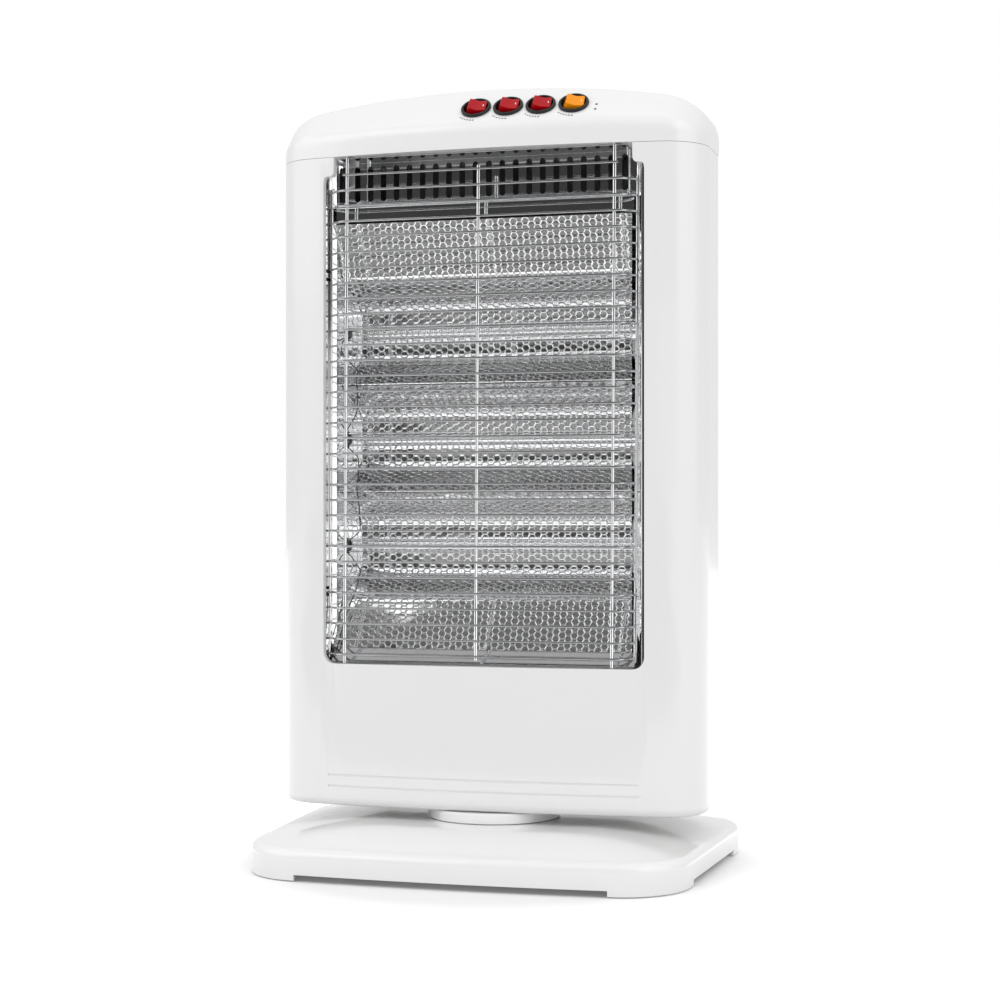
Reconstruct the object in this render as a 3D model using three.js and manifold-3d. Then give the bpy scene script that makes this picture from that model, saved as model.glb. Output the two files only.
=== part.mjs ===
// Three-tube quartz heater on an oscillating stand.
// Millimetres, +Z up, front toward -Y, origin on the floor under the swing axis.
import * as THREE from "three";
import { mergeVertices } from "three/addons/utils/BufferGeometryUtils.js";
import Module from "manifold-3d";

const wasm = await Module();
wasm.setup();

// Shared fits
const CLEARANCE = 0.3;
const OVERRUN = 5;
const RUNNING_GAP = 0.5;

// Heater body, outline in plan
const BODY_BOTTOM_Z = 43.5;
const SEAM_Z = 539.5;
const FRONT_Y = -47;
const FRONT_BOW = 12.6;
const FRONT_BOW_HALF = 168;
const FRONT_ARC_START_X = 136;
const FRONT_ARC_RADIUS = 36;
const REAR_Y = 62;
const REAR_ARC_RADIUS = 26;
const BODY_WALL = 2.6;
const BOTTOM_EDGE_RADIUS = 6;
const SHELL_SEAM_Y = 34;
const REAR_SHELL_STEP = 1.2;
const FRONT_STEPS = 4;
const ARC_STEPS = 7;
const REAR_ARC_STEPS = 4;
const EDGE_STEPS = 3;

// Window in the front frame
const WINDOW_HALF = 125;
const WINDOW_BOTTOM_Z = 152.2;
const WINDOW_CORNER_RADIUS = 9;
const WINDOW_NECK_HALF = 116.4;
const WINDOW_NECK_Z = 530;
const WINDOW_SHOULDER_Z = 520;
const WINDOW_LIP = 2.2;
const WINDOW_LIP_BACK_Y = -34;
const CORNER_DIVISIONS = 4;
const SLOT_DIVISIONS = 2;

// Trim lines under the window
const TRIM_LINE_Z = 66.4;
const TRIM_LINE_PITCH = 8.6;
const TRIM_LINE_HEIGHT = 1.3;
const TRIM_LINE_DEPTH = 0.9;
const TRIM_LINE_HALF = 121;
const TRIM_LINE_COUNT = 2;

// Control cap
const CAP_HEIGHT = 50.5;
const CAP_FACE_HEIGHT = 18.5;
const CAP_FACE_SHARE = 0.4;
const CAP_SLANT_ANGLE = 45;
const CAP_RIDGE_ROUND = 4;
const CAP_REAR_ROUND_Y = 15;
const CAP_REAR_ROUND_Z = 17;
const CAP_ARCH = 10.6;
const CAP_ARCH_HALF = 138;
const CAP_END_DROP = 36;
const CAP_LEDGE = 2.6;
const CAP_OPENING_HALF = 100;
const CAP_OPENING_FRONT_Y = 0;
const CAP_OPENING_REAR_Y = 44;

// Rocker switches on the slanted face
const SWITCH_COUNT = 4;
const SWITCH_FIRST_X = -5;
const SWITCH_PITCH = 25;
const SWITCH_RISE_SHARE = 0.431;
const BEZEL_RADIUS = 11.5;
const BEZEL_HEIGHT = 1.9;
const BARREL_RADIUS = 10.4;
const BARREL_DEPTH = 13;
const POCKET_RADIUS = 9.5;
const POCKET_DEPTH = 10.5;
const ROCKER_PIVOT_DEPTH = 2.6;
const ROCKER_HALF_LENGTH = 8.3;
const ROCKER_TOP_HALF_LENGTH = 6.6;
const ROCKER_HALF_WIDTH = 6.2;
const ROCKER_END_HEIGHT = 7.2;
const ROCKER_MIDDLE_HEIGHT = 5.7;
const ROCKER_SKIRT_DEPTH = 2.6;
const ROCKER_HEEL_DEPTH = 6.4;
const ROCKER_HEEL_SHARE = 0.55;
const ROCKER_AXLE_RADIUS = 1.5;
const ROCKER_AXLE_HALF = 10;
const ROCKER_TILT_ANGLE = 14;
const ROUND_SIDES = 24;
const COLLAR_SIDES = 40;

// Sheet-metal lining and reflectors
const SHEET = 0.8;
const PANEL_FRONT_X = 125.2;
const PANEL_BACK_X = 114.3;
const PANEL_KNEE_Y = 2;
const PANEL_SEAT_X = 100;
const PANEL_BOTTOM_Z = 154;
const TUBE_COUNT = 3;
const TUBE_TOP_Z = 408;
const TUBE_PITCH = 83;
const TUBE_Y = -4;
const REFLECTOR_HALF = 110;
const REFLECTOR_RIDGE_Y = -13;
const REFLECTOR_BACK_Y = 15.5;
const REFLECTOR_FLAT_HALF = 22;
const REFLECTOR_RIDGE_GAP = 2;
const FLARE_TOP_Z = 490;
const FLARE_TOP_Y = -25;
const FLARE_BOTTOM_Z = 164;
const FLARE_BOTTOM_Y = -26;
const VENT_Y = -12;
const VENT_BOTTOM_Z = 505;
const VENT_FOLD_Y = -26.5;
const VENT_FOLD_DROP = 2;
const VENT_LIP_Z = 492;
const VENT_FOLD_HALF = 112;
const VENT_SLOT_COUNT = 22;
const VENT_SLOT_PITCH = 10.1;
const VENT_SLOT_WIDTH = 4.6;
const VENT_SLOT_BOTTOM_Z = 510;
const VENT_SLOT_TOP_Z = 534;
const TRAY_SEAT = 1.6;
const TRAY_HALF = 111;

// Quartz heating elements
const TUBE_RADIUS = 5.5;
const TUBE_WALL = 1;
const COIL_RADIUS = 3.2;
const CERAMIC_SIZE = 17;
const CERAMIC_LENGTH = 16;
const CERAMIC_BORE_DEPTH = 11;
const ELEMENT_SIDES = 16;
const LEAD_RADIUS = 0.8;
const LEAD_DROP = 22;
const LEAD_HOLE_RADIUS = 2.4;
const LEAD_FIRST_Y = 3.6;
const LEAD_PITCH = 3.6;
const LEAD_BEND = 6;
const WIRE_SIDES = 6;

// Wire guard
const GUARD_WIRE_COUNT = 32;
const GUARD_TOP_Z = 525.8;
const GUARD_WIRE_PITCH = 11.83;
const GUARD_WIRE_RADIUS = 0.9;
const GUARD_POST_RADIUS = 1.25;
const GUARD_WELD = 0.4;
const GUARD_FRONT_Y = -39;
const GUARD_FRONT_HALF = 110;
const GUARD_SIDE_HALF = 118.3;
const GUARD_SIDE_Y = -28;
const GUARD_POST_X = 104.5;
const GUARD_POST_OVERHANG = 3;

// Oscillating joint
const SWING_ANGLE = 35;
const COLLAR_RADIUS = 51;
const COLLAR_RIM = 3.5;
const COLLAR_RIM_GAP = 0.4;
const COLLAR_NECK_RADIUS = 34;
const SPIGOT_RADIUS = 28;
const SPIGOT_BORE_RADIUS = 20;
const SPIGOT_DROP = 4;
const WASHER_THICKNESS = 1;
const WASHER_RADIUS = 45;
const RETAINER_THICKNESS = 2;
const RETAINER_RADIUS = 44;
const RETAINER_ARM_LENGTH = 61;
const RETAINER_ARM_HALF = 9;
const RETAINER_SCREW_COUNT = 2;
const RETAINER_SCREW_DEPTH = 7;
const MOTOR_OFFSET = 30;
const MOTOR_RADIUS = 24;
const MOTOR_HEIGHT = 12.4;
const MOTOR_SHAFT_RADIUS = 3;
const MOTOR_SHAFT_LENGTH = 2.8;
const MOTOR_EAR_REACH = 32;
const MOTOR_EAR_HALF = 6;
const MOTOR_EAR_THICKNESS = 2;
const CRANK_RIM = 4;
const CRANK_THICKNESS = 2.6;
const CRANK_PIN_RADIUS = 3;
const CRANK_SLOT_GAP = 1;
const CRANK_PIN_STANDOUT = 0.6;

// Stand
const BASE_HALF_DEPTH = 131;
const BASE_BOW = 9;
const BASE_BOW_HALF = 172;
const BASE_ARC_START_X = 125.4;
const BASE_TAPER_SHARE = 0.048;
const BASE_ARC_RADIUS = 50;
const BASE_GROUND_GAP = 0.8;
const BASE_SKIRT_TOP_Z = 17;
const BASE_SKIRT_DRAFT = 1;
const BASE_EDGE_RADIUS = 7;
const BASE_TOP_Z = 35;
const BASE_PLATEAU_SHARE = 0.52;
const BASE_WALL = 2.6;
const BASE_NOTCH_FRONT_HALF = 116;
const BASE_NOTCH_SIDE_HALF = 66;
const BASE_NOTCH_Z = 5;
const PLATE_Z = 5.6;
const PLATE_THICKNESS = 1.2;
const FOOT_RADIUS = 9;
const FOOT_SIDE_INSET = 60;
const FOOT_END_INSET = 47;
const BASE_SCREW_SIDE_INSET = 36;
const BASE_SCREW_END_INSET = 39;
const BASE_BOSS_RADIUS = 5;

// Screws
const SCREW_RADIUS = 1.6;
const SCREW_HEAD_RADIUS = 3.2;
const SCREW_HEAD_HEIGHT = 1.4;
const SCREW_LENGTH = 11;
const SCREW_SIDES = 12;
const REAR_SCREW_X = 134;
const REAR_SCREW_Z = 76;
const REAR_BOSS_RADIUS = 4.6;

// Pieces inside the body
const FLOOR_THICKNESS = 2.5;
const FLOOR_INSET = 4.1;
const FLOOR_WIRE_RADIUS = 17;
const CUTOUT_RADIUS = 8;
const CUTOUT_THICKNESS = 6;
const CUTOUT_X = 60;
const TILT_SWITCH_SIZE = [24, 16, 30];
const TILT_SWITCH_X = 70;
const TERMINAL_SIZE = [44, 18, 16];
const TERMINAL_X = -96;
const INNER_PARTS_Y = 8;
const GLAND_X = 112;
const GLAND_Z = 84;
const GLAND_BARREL_RADIUS = 6.5;
const GLAND_FLANGE_RADIUS = 9.5;
const GLAND_FLANGE = 2.4;
const GLAND_BORE_RADIUS = 3.6;
const GLAND_TAIL = 6;
const REAR_SLOT_COUNT = 13;
const REAR_SLOT_PITCH = 17;
const REAR_SLOT_WIDTH = 6;
const REAR_SLOT_HEIGHT = 44;
const REAR_SLOT_ROWS_Z = [118, 506];

// Colours of the finishes
const WHITE = 0xf2f2f0;
const BLACK = 0x17181a;
const RED = 0xb3131f;
const AMBER = 0xf59a14;
const STEEL = 0xb9bcc0;
const BRIGHT = 0xdcdee0;
const QUARTZ = 0xdfe6ea;
const CERAMIC = 0xece8df;
const RUBBER = 0x202124;
const WIRE = 0x34363a;
const NYLON = 0xe8e4d6;

const degrees = THREE.MathUtils.degToRad;
const heater = new THREE.Group();

// Joins, cuts and meshes

function solidOf(geometry) {
  const bare = geometry.clone();
  bare.deleteAttribute("normal");
  bare.deleteAttribute("uv");
  const merged = mergeVertices(bare);
  const vertProperties = new Float32Array(merged.attributes.position.array);
  const triVerts = new Uint32Array(merged.index.array);
  return new wasm.Manifold(new wasm.Mesh({ numProp: 3, vertProperties, triVerts }));
}

function geometryOf(solid) {
  const mesh = solid.getMesh();
  const geometry = new THREE.BufferGeometry();
  const stride = mesh.numProp;
  const count = mesh.vertProperties.length / stride;
  const positions = new Float32Array(count * 3);
  for (let i = 0; i < count; i += 1) {
    for (let axis = 0; axis < 3; axis += 1) {
      positions[3 * i + axis] = mesh.vertProperties[stride * i + axis];
    }
  }
  geometry.setAttribute("position", new THREE.BufferAttribute(positions, 3));
  geometry.setIndex(new THREE.BufferAttribute(new Uint32Array(mesh.triVerts), 1));
  geometry.computeVertexNormals();
  return geometry;
}

function joined(first, ...others) {
  return others.reduce((sum, other) => sum.add(other), first);
}

function cut(first, ...others) {
  return others.reduce((rest, other) => rest.subtract(other), first);
}

function finish(color, roughness, metalness) {
  return { color, roughness, metalness };
}

const GLOSS_WHITE = finish(WHITE, 0.25, 0);
const MATT_BLACK = finish(BLACK, 0.55, 0);
const POLISHED = finish(BRIGHT, 0.12, 1);
const PLAIN_STEEL = finish(STEEL, 0.4, 1);

function addPiece(name, shape, look) {
  const geometry = shape.isBufferGeometry ? shape : geometryOf(shape);
  const mesh = new THREE.Mesh(geometry, new THREE.MeshStandardMaterial(look));
  mesh.name = name;
  heater.add(mesh);
  return mesh;
}

// Basic shapes

function boxBetween(low, high) {
  const size = high.map((value, axis) => value - low[axis]);
  const middle = high.map((value, axis) => (value + low[axis]) / 2);
  return new THREE.BoxGeometry(...size).translate(...middle);
}

function uprightCylinder(radius, lowZ, highZ, sides = ROUND_SIDES) {
  const cylinder = new THREE.CylinderGeometry(radius, radius, highZ - lowZ, sides);
  return cylinder.rotateX(Math.PI / 2).translate(0, 0, (lowZ + highZ) / 2);
}

function cylinderAlongX(radius, lowX, highX, sides = ELEMENT_SIDES) {
  const cylinder = new THREE.CylinderGeometry(radius, radius, highX - lowX, sides);
  return cylinder.rotateZ(-Math.PI / 2).translate((lowX + highX) / 2, 0, 0);
}

function cylinderAlongY(radius, lowY, highY, sides = ELEMENT_SIDES) {
  const cylinder = new THREE.CylinderGeometry(radius, radius, highY - lowY, sides);
  return cylinder.translate(0, (lowY + highY) / 2, 0);
}

function prismUp(shape, lowZ, highZ, divisions = CORNER_DIVISIONS) {
  const settings = { depth: highZ - lowZ, bevelEnabled: false, curveSegments: divisions };
  return new THREE.ExtrudeGeometry(shape, settings).translate(0, 0, lowZ);
}

// Extrudes a shape drawn in X and Z along Y.
function prismAlongY(shape, lowY, highY, divisions = CORNER_DIVISIONS) {
  return prismUp(shape, 0, highY - lowY, divisions).rotateX(Math.PI / 2).translate(0, highY, 0);
}

// Extrudes a shape drawn in Y and Z along X.
function prismAlongX(shape, lowX, highX) {
  const turn = new THREE.Matrix4().makeBasis(
    new THREE.Vector3(0, 1, 0), new THREE.Vector3(0, 0, 1), new THREE.Vector3(1, 0, 0));
  return prismUp(shape, 0, highX - lowX).applyMatrix4(turn).translate(lowX, 0, 0);
}

// Spins a closed outline of radius and height about Z.
function turned(outline, sides = ROUND_SIDES) {
  const points = outline.map(([radius, z]) => new THREE.Vector2(radius, z));
  points.push(points[0].clone());
  return new THREE.LatheGeometry(points, sides).rotateX(Math.PI / 2);
}

// A bent sheet: a polyline given its thickness on the right-hand side of travel.
function sheetShape(line, thickness) {
  const points = line.map(([a, b]) => new THREE.Vector2(a, b));
  const rightOf = (from, to) => {
    const along = to.clone().sub(from).normalize();
    return new THREE.Vector2(along.y, -along.x);
  };
  const offset = points.map((point, i) => {
    const before = i > 0 ? rightOf(points[i - 1], point) : rightOf(point, points[i + 1]);
    const after = i < points.length - 1 ? rightOf(point, points[i + 1]) : before;
    const mitre = before.clone().add(after).normalize();
    return point.clone().add(mitre.multiplyScalar(thickness / mitre.dot(after)));
  });
  const outline = [...points, ...offset.reverse()];
  if (THREE.ShapeUtils.area(outline) < 0) {
    outline.reverse();
  }
  return new THREE.Shape(outline);
}

function fanFaces(count) {
  const faces = [];
  for (let i = 1; i < count - 1; i += 1) {
    faces.push([0, i, i + 1]);
  }
  return faces;
}

// Closed skin through matching rings; flat drops the axis along which they stack,
// and rings without one are convex.
function loft(rings, flat) {
  const endFaces = (ring) => (
    flat ? THREE.ShapeUtils.triangulateShape(ring.map(flat), []) : fanFaces(ring.length));
  const count = rings[0].length;
  const positions = rings.flat().flatMap((point) => [point.x, point.y, point.z]);
  const index = [];
  for (let r = 0; r < rings.length - 1; r += 1) {
    for (let i = 0; i < count; i += 1) {
      const a = r * count + i;
      const b = r * count + (i + 1) % count;
      index.push(a, b, b + count, a, b + count, a + count);
    }
  }
  const last = (rings.length - 1) * count;
  for (const [a, b, c] of endFaces(rings[0])) {
    index.push(c, b, a);
  }
  for (const [a, b, c] of endFaces(rings.at(-1))) {
    index.push(last + a, last + b, last + c);
  }
  const geometry = new THREE.BufferGeometry();
  geometry.setAttribute("position", new THREE.Float32BufferAttribute(positions, 3));
  geometry.setIndex(index);
  return geometry;
}

// A wire through the points, its corners mitred.
function bentWire(points, radius) {
  const directions = points.slice(1).map((point, i) => point.clone().sub(points[i]).normalize());
  const square = new THREE.Quaternion().setFromUnitVectors(new THREE.Vector3(0, 0, 1), directions[0]);
  let ring = [];
  for (let side = 0; side < WIRE_SIDES; side += 1) {
    const turn = 2 * Math.PI * (side + 1 / 2) / WIRE_SIDES;
    const spoke = new THREE.Vector3(radius * Math.cos(turn), radius * Math.sin(turn), 0);
    ring.push(spoke.applyQuaternion(square).add(points[0]));
  }
  const rings = [ring];
  directions.forEach((along, i) => {
    const facing = along.clone().add(directions[i + 1] ?? along).normalize();
    ring = ring.map((point) => {
      const travel = points[i + 1].clone().sub(point).dot(facing) / along.dot(facing);
      return point.clone().addScaledVector(along, travel);
    });
    rings.push(ring);
  });
  return loft(rings);
}

const withoutZ = (point) => new THREE.Vector2(point.x, point.y);
const withoutX = (point) => new THREE.Vector2(point.y, point.z);

function mirroredRing(rightHalf) {
  const left = rightHalf.slice(1, -1).reverse().map((point) => new THREE.Vector2(-point.x, point.y));
  return [...rightHalf, ...left];
}

function ringAt(outline, z) {
  return outline.map((point) => new THREE.Vector3(point.x, point.y, z));
}

// Heater body outline

const frontSlope = 2 * FRONT_BOW * FRONT_ARC_START_X / FRONT_BOW_HALF ** 2;
const frontArcTurn = Math.atan(frontSlope);
const frontArcCentre = new THREE.Vector2(
  FRONT_ARC_START_X - FRONT_ARC_RADIUS * Math.sin(frontArcTurn),
  FRONT_Y + FRONT_BOW * (FRONT_ARC_START_X / FRONT_BOW_HALF) ** 2
    + FRONT_ARC_RADIUS * Math.cos(frontArcTurn));
const bodyHalf = frontArcCentre.x + FRONT_ARC_RADIUS;
const crownZ = SEAM_Z + CAP_HEIGHT;

function bowedFrontY(x) {
  return FRONT_Y + FRONT_BOW * (x / FRONT_BOW_HALF) ** 2;
}

// Front edge from the middle to the side wall, moved inward by an inset.
function frontHalfPoints(inset) {
  const points = [];
  for (let i = 0; i < FRONT_STEPS; i += 1) {
    const x = FRONT_ARC_START_X * i / FRONT_STEPS;
    points.push(new THREE.Vector2(x, bowedFrontY(x) + inset));
  }
  for (let i = 0; i <= ARC_STEPS; i += 1) {
    const heading = frontArcTurn + (Math.PI / 2 - frontArcTurn) * i / ARC_STEPS;
    const reach = FRONT_ARC_RADIUS - inset;
    points.push(new THREE.Vector2(
      frontArcCentre.x + reach * Math.sin(heading), frontArcCentre.y - reach * Math.cos(heading)));
  }
  return points;
}

function bodyOutline(inset) {
  const points = frontHalfPoints(inset);
  const reach = REAR_ARC_RADIUS - inset;
  for (let i = 0; i <= REAR_ARC_STEPS; i += 1) {
    const turn = Math.PI / 2 * i / REAR_ARC_STEPS;
    points.push(new THREE.Vector2(
      bodyHalf - REAR_ARC_RADIUS + reach * Math.cos(turn),
      REAR_Y - REAR_ARC_RADIUS + reach * Math.sin(turn)));
  }
  points.push(new THREE.Vector2(0, REAR_Y - inset));
  return mirroredRing(points);
}

// Body wall as a full block, with its rounded lower edge.
function bodyBlock(inset, topZ, lowerZ) {
  const rings = [];
  if (lowerZ < BODY_BOTTOM_Z) {
    rings.push(ringAt(bodyOutline(inset + BOTTOM_EDGE_RADIUS), lowerZ));
  }
  for (let i = 0; i <= EDGE_STEPS; i += 1) {
    const turn = Math.PI / 2 * i / EDGE_STEPS;
    const drawIn = BOTTOM_EDGE_RADIUS * (1 - Math.sin(turn));
    const z = BODY_BOTTOM_Z + BOTTOM_EDGE_RADIUS * (1 - Math.cos(turn));
    rings.push(ringAt(bodyOutline(inset + drawIn), z));
  }
  rings.push(ringAt(bodyOutline(inset), topZ));
  return solidOf(loft(rings, withoutZ));
}

function bodyTube(inset, wall) {
  const outer = bodyBlock(inset, SEAM_Z - CLEARANCE / 2, BODY_BOTTOM_Z);
  const inner = bodyBlock(inset + wall, SEAM_Z + OVERRUN, BODY_BOTTOM_Z - OVERRUN);
  return { outer, tube: outer.subtract(inner) };
}

function slabInY(lowY, highY) {
  const reach = bodyHalf + OVERRUN;
  return solidOf(boxBetween([-reach, lowY, BODY_BOTTOM_Z - OVERRUN], [reach, highY, crownZ + OVERRUN]));
}

// Front frame

function windowShape(grow) {
  const half = WINDOW_HALF + grow;
  const neck = WINDOW_NECK_HALF + grow;
  const bottom = WINDOW_BOTTOM_Z - grow;
  const radius = WINDOW_CORNER_RADIUS + grow;
  const top = SEAM_Z + OVERRUN;
  const shape = new THREE.Shape();
  shape.moveTo(-half + radius, bottom);
  shape.lineTo(half - radius, bottom);
  shape.absarc(half - radius, bottom + radius, radius, -Math.PI / 2, 0, false);
  shape.lineTo(half, WINDOW_SHOULDER_Z);
  shape.bezierCurveTo(half, WINDOW_NECK_Z, neck, WINDOW_SHOULDER_Z, neck, WINDOW_NECK_Z);
  shape.lineTo(neck, top);
  shape.lineTo(-neck, top);
  shape.lineTo(-neck, WINDOW_NECK_Z);
  shape.bezierCurveTo(-neck, WINDOW_SHOULDER_Z, -half, WINDOW_NECK_Z, -half, WINDOW_SHOULDER_Z);
  shape.lineTo(-half, bottom + radius);
  shape.absarc(-half + radius, bottom + radius, radius, Math.PI, Math.PI * 3 / 2, false);
  return shape;
}

function trimLineCutters() {
  const cutters = [];
  const keep = bodyBlock(TRIM_LINE_DEPTH, SEAM_Z, BODY_BOTTOM_Z);
  for (let i = 0; i < TRIM_LINE_COUNT; i += 1) {
    const z = TRIM_LINE_Z - i * TRIM_LINE_PITCH;
    const band = boxBetween(
      [-TRIM_LINE_HALF, FRONT_Y - OVERRUN, z], [TRIM_LINE_HALF, WINDOW_LIP_BACK_Y, z + TRIM_LINE_HEIGHT]);
    cutters.push(solidOf(band).subtract(keep));
  }
  return cutters;
}

function rearScrewPlaces() {
  return [-REAR_SCREW_X, REAR_SCREW_X].map((x) => [x, REAR_SCREW_Z]);
}

const rearInnerY = REAR_Y - REAR_SHELL_STEP - BODY_WALL;
const rearOuterY = REAR_Y - REAR_SHELL_STEP;
const screwHoleRadius = SCREW_RADIUS + CLEARANCE;

function buildFrontFrame() {
  const { outer, tube } = bodyTube(0, BODY_WALL);
  const frontHalf = tube.subtract(slabInY(SHELL_SEAM_Y - CLEARANCE / 2, REAR_Y + OVERRUN));
  const lipBlock = solidOf(prismAlongY(windowShape(WINDOW_LIP), FRONT_Y - OVERRUN, WINDOW_LIP_BACK_Y));
  let frame = frontHalf.add(lipBlock.intersect(outer));
  const opening = prismAlongY(windowShape(0), FRONT_Y - OVERRUN, WINDOW_LIP_BACK_Y + OVERRUN);
  frame = cut(frame, solidOf(opening), ...trimLineCutters());
  for (const [x, z] of rearScrewPlaces()) {
    const bossEnd = rearInnerY - CLEARANCE;
    const bossStart = bowedFrontY(x) + BODY_WALL / 2;
    const boss = cylinderAlongY(REAR_BOSS_RADIUS, bossStart, bossEnd).translate(x, 0, z);
    const hole = cylinderAlongY(screwHoleRadius, bossEnd - SCREW_LENGTH, bossEnd + OVERRUN, SCREW_SIDES);
    frame = frame.add(solidOf(boss)).subtract(solidOf(hole.translate(x, 0, z)));
  }
  addPiece("front_frame", frame, GLOSS_WHITE);
}

// Rear shell

function obround(width, lowZ, highZ, x) {
  const radius = width / 2;
  const shape = new THREE.Shape();
  shape.absarc(x, lowZ + radius, radius, Math.PI, Math.PI * 2, false);
  shape.absarc(x, highZ - radius, radius, 0, Math.PI, false);
  return shape;
}

function buildRearShell() {
  const { tube } = bodyTube(REAR_SHELL_STEP, BODY_WALL);
  let shell = tube.subtract(slabInY(FRONT_Y - OVERRUN, SHELL_SEAM_Y + CLEARANCE / 2));
  for (const rowZ of REAR_SLOT_ROWS_Z) {
    for (let i = 0; i < REAR_SLOT_COUNT; i += 1) {
      const x = (i - (REAR_SLOT_COUNT - 1) / 2) * REAR_SLOT_PITCH;
      const low = rowZ - REAR_SLOT_HEIGHT / 2;
      const slot = obround(REAR_SLOT_WIDTH, low, low + REAR_SLOT_HEIGHT, x);
      const cutter = prismAlongY(slot, rearInnerY - OVERRUN, REAR_Y + OVERRUN, SLOT_DIVISIONS);
      shell = shell.subtract(solidOf(cutter));
    }
  }
  for (const [x, z] of rearScrewPlaces()) {
    const hole = cylinderAlongY(screwHoleRadius, rearInnerY - OVERRUN, REAR_Y + OVERRUN, SCREW_SIDES);
    shell = shell.subtract(solidOf(hole.translate(x, 0, z)));
  }
  const glandHole = cylinderAlongY(GLAND_BARREL_RADIUS + CLEARANCE, rearInnerY - OVERRUN, REAR_Y + OVERRUN);
  shell = shell.subtract(solidOf(glandHole.translate(GLAND_X, 0, GLAND_Z)));
  addPiece("rear_shell", shell, GLOSS_WHITE);
}

// Control cap

const slant = degrees(CAP_SLANT_ANGLE);
const slantFootZ = SEAM_Z + CAP_FACE_HEIGHT;
const switchRise = SWITCH_RISE_SHARE * (CAP_HEIGHT - CAP_FACE_HEIGHT);
const capEndZ = crownZ - CAP_END_DROP;

function capTopZ(x) {
  const arch = crownZ - CAP_ARCH * (x / CAP_ARCH_HALF) ** 2;
  const past = Math.max(0, (Math.abs(x) - CAP_ARCH_HALF) / (bodyHalf - CAP_ARCH_HALF));
  return capEndZ + (arch - capEndZ) * Math.sqrt(Math.max(0, 1 - past ** 2));
}

function rearEdgeY(x, inset) {
  const past = Math.abs(x) - (bodyHalf - REAR_ARC_RADIUS);
  const reach = REAR_ARC_RADIUS - inset;
  const drop = past > 0 ? reach - Math.sqrt(Math.max(0, reach ** 2 - past ** 2)) : 0;
  return REAR_Y - inset - drop;
}

// One slice of the cap across Y and Z, from its lower front corner round.
function capSlice(x, frontY, inset, bottomZ) {
  const outerX = x * bodyHalf / (bodyHalf - inset);
  const height = capTopZ(outerX) - SEAM_Z;
  const top = SEAM_Z + height - inset;
  const face = SEAM_Z + Math.min(CAP_FACE_HEIGHT, CAP_FACE_SHARE * height)
    - inset * (1 / Math.sin(slant) - 1) * Math.tan(slant);
  const rear = rearEdgeY(x, inset);
  const ridge = frontY + (top - face) / Math.tan(slant);
  const round = CAP_RIDGE_ROUND - inset * CAP_FACE_SHARE;
  const slice = [[frontY, bottomZ], [rear, bottomZ]];
  const roundZ = Math.min(CAP_REAR_ROUND_Z, height * CAP_FACE_SHARE);
  for (let i = 0; i <= EDGE_STEPS; i += 1) {
    const turn = Math.PI / 2 * i / EDGE_STEPS;
    slice.push([rear - CAP_REAR_ROUND_Y * (1 - Math.cos(turn)), top - roundZ * (1 - Math.sin(turn))]);
  }
  slice.push([ridge + round, top]);
  slice.push([ridge - round * Math.cos(slant), top - round * Math.sin(slant)]);
  slice.push([frontY, face]);
  return slice.map(([y, z]) => new THREE.Vector3(x, y, z));
}

function capBlock(inset, bottomZ) {
  const right = frontHalfPoints(inset);
  const left = right.slice(1).reverse().map((point) => new THREE.Vector2(-point.x, point.y));
  const slices = [...left, ...right].map((point) => capSlice(point.x, point.y, inset, bottomZ));
  return solidOf(loft(slices, withoutX));
}

// Local frame of one switch: across, up the slant and out of the face.
function switchFrame(index) {
  const x = SWITCH_FIRST_X + index * SWITCH_PITCH;
  const y = bowedFrontY(x) + switchRise / Math.tan(slant);
  const yaw = 2 * FRONT_BOW * x / FRONT_BOW_HALF ** 2;
  const across = new THREE.Vector3(1, yaw, 0).normalize();
  const out = new THREE.Vector3(yaw * Math.sin(slant), -Math.sin(slant), Math.cos(slant)).normalize();
  const up = out.clone().cross(across);
  return new THREE.Matrix4().makeBasis(across, up, out).setPosition(x, y, slantFootZ + switchRise);
}

function buildTopCap() {
  const bottomZ = SEAM_Z + CLEARANCE / 2;
  const opening = boxBetween(
    [-CAP_OPENING_HALF, CAP_OPENING_FRONT_Y, bottomZ - OVERRUN],
    [CAP_OPENING_HALF, CAP_OPENING_REAR_Y, bottomZ + CAP_LEDGE + OVERRUN]);
  let cap = cut(capBlock(0, bottomZ), capBlock(BODY_WALL, bottomZ + CAP_LEDGE), solidOf(opening));
  for (const x of [-GUARD_POST_X, GUARD_POST_X]) {
    const hole = uprightCylinder(
      GUARD_POST_RADIUS + CLEARANCE, bottomZ - OVERRUN, bottomZ + CAP_LEDGE + OVERRUN, SCREW_SIDES);
    cap = cap.subtract(solidOf(hole.translate(x, guardPostY, 0)));
  }
  for (let i = 0; i < SWITCH_COUNT; i += 1) {
    const hole = uprightCylinder(BARREL_RADIUS + CLEARANCE, -BARREL_DEPTH, OVERRUN);
    cap = cap.subtract(solidOf(hole.applyMatrix4(switchFrame(i))));
  }
  addPiece("top_cap", cap, GLOSS_WHITE);
}

// Switches

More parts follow.
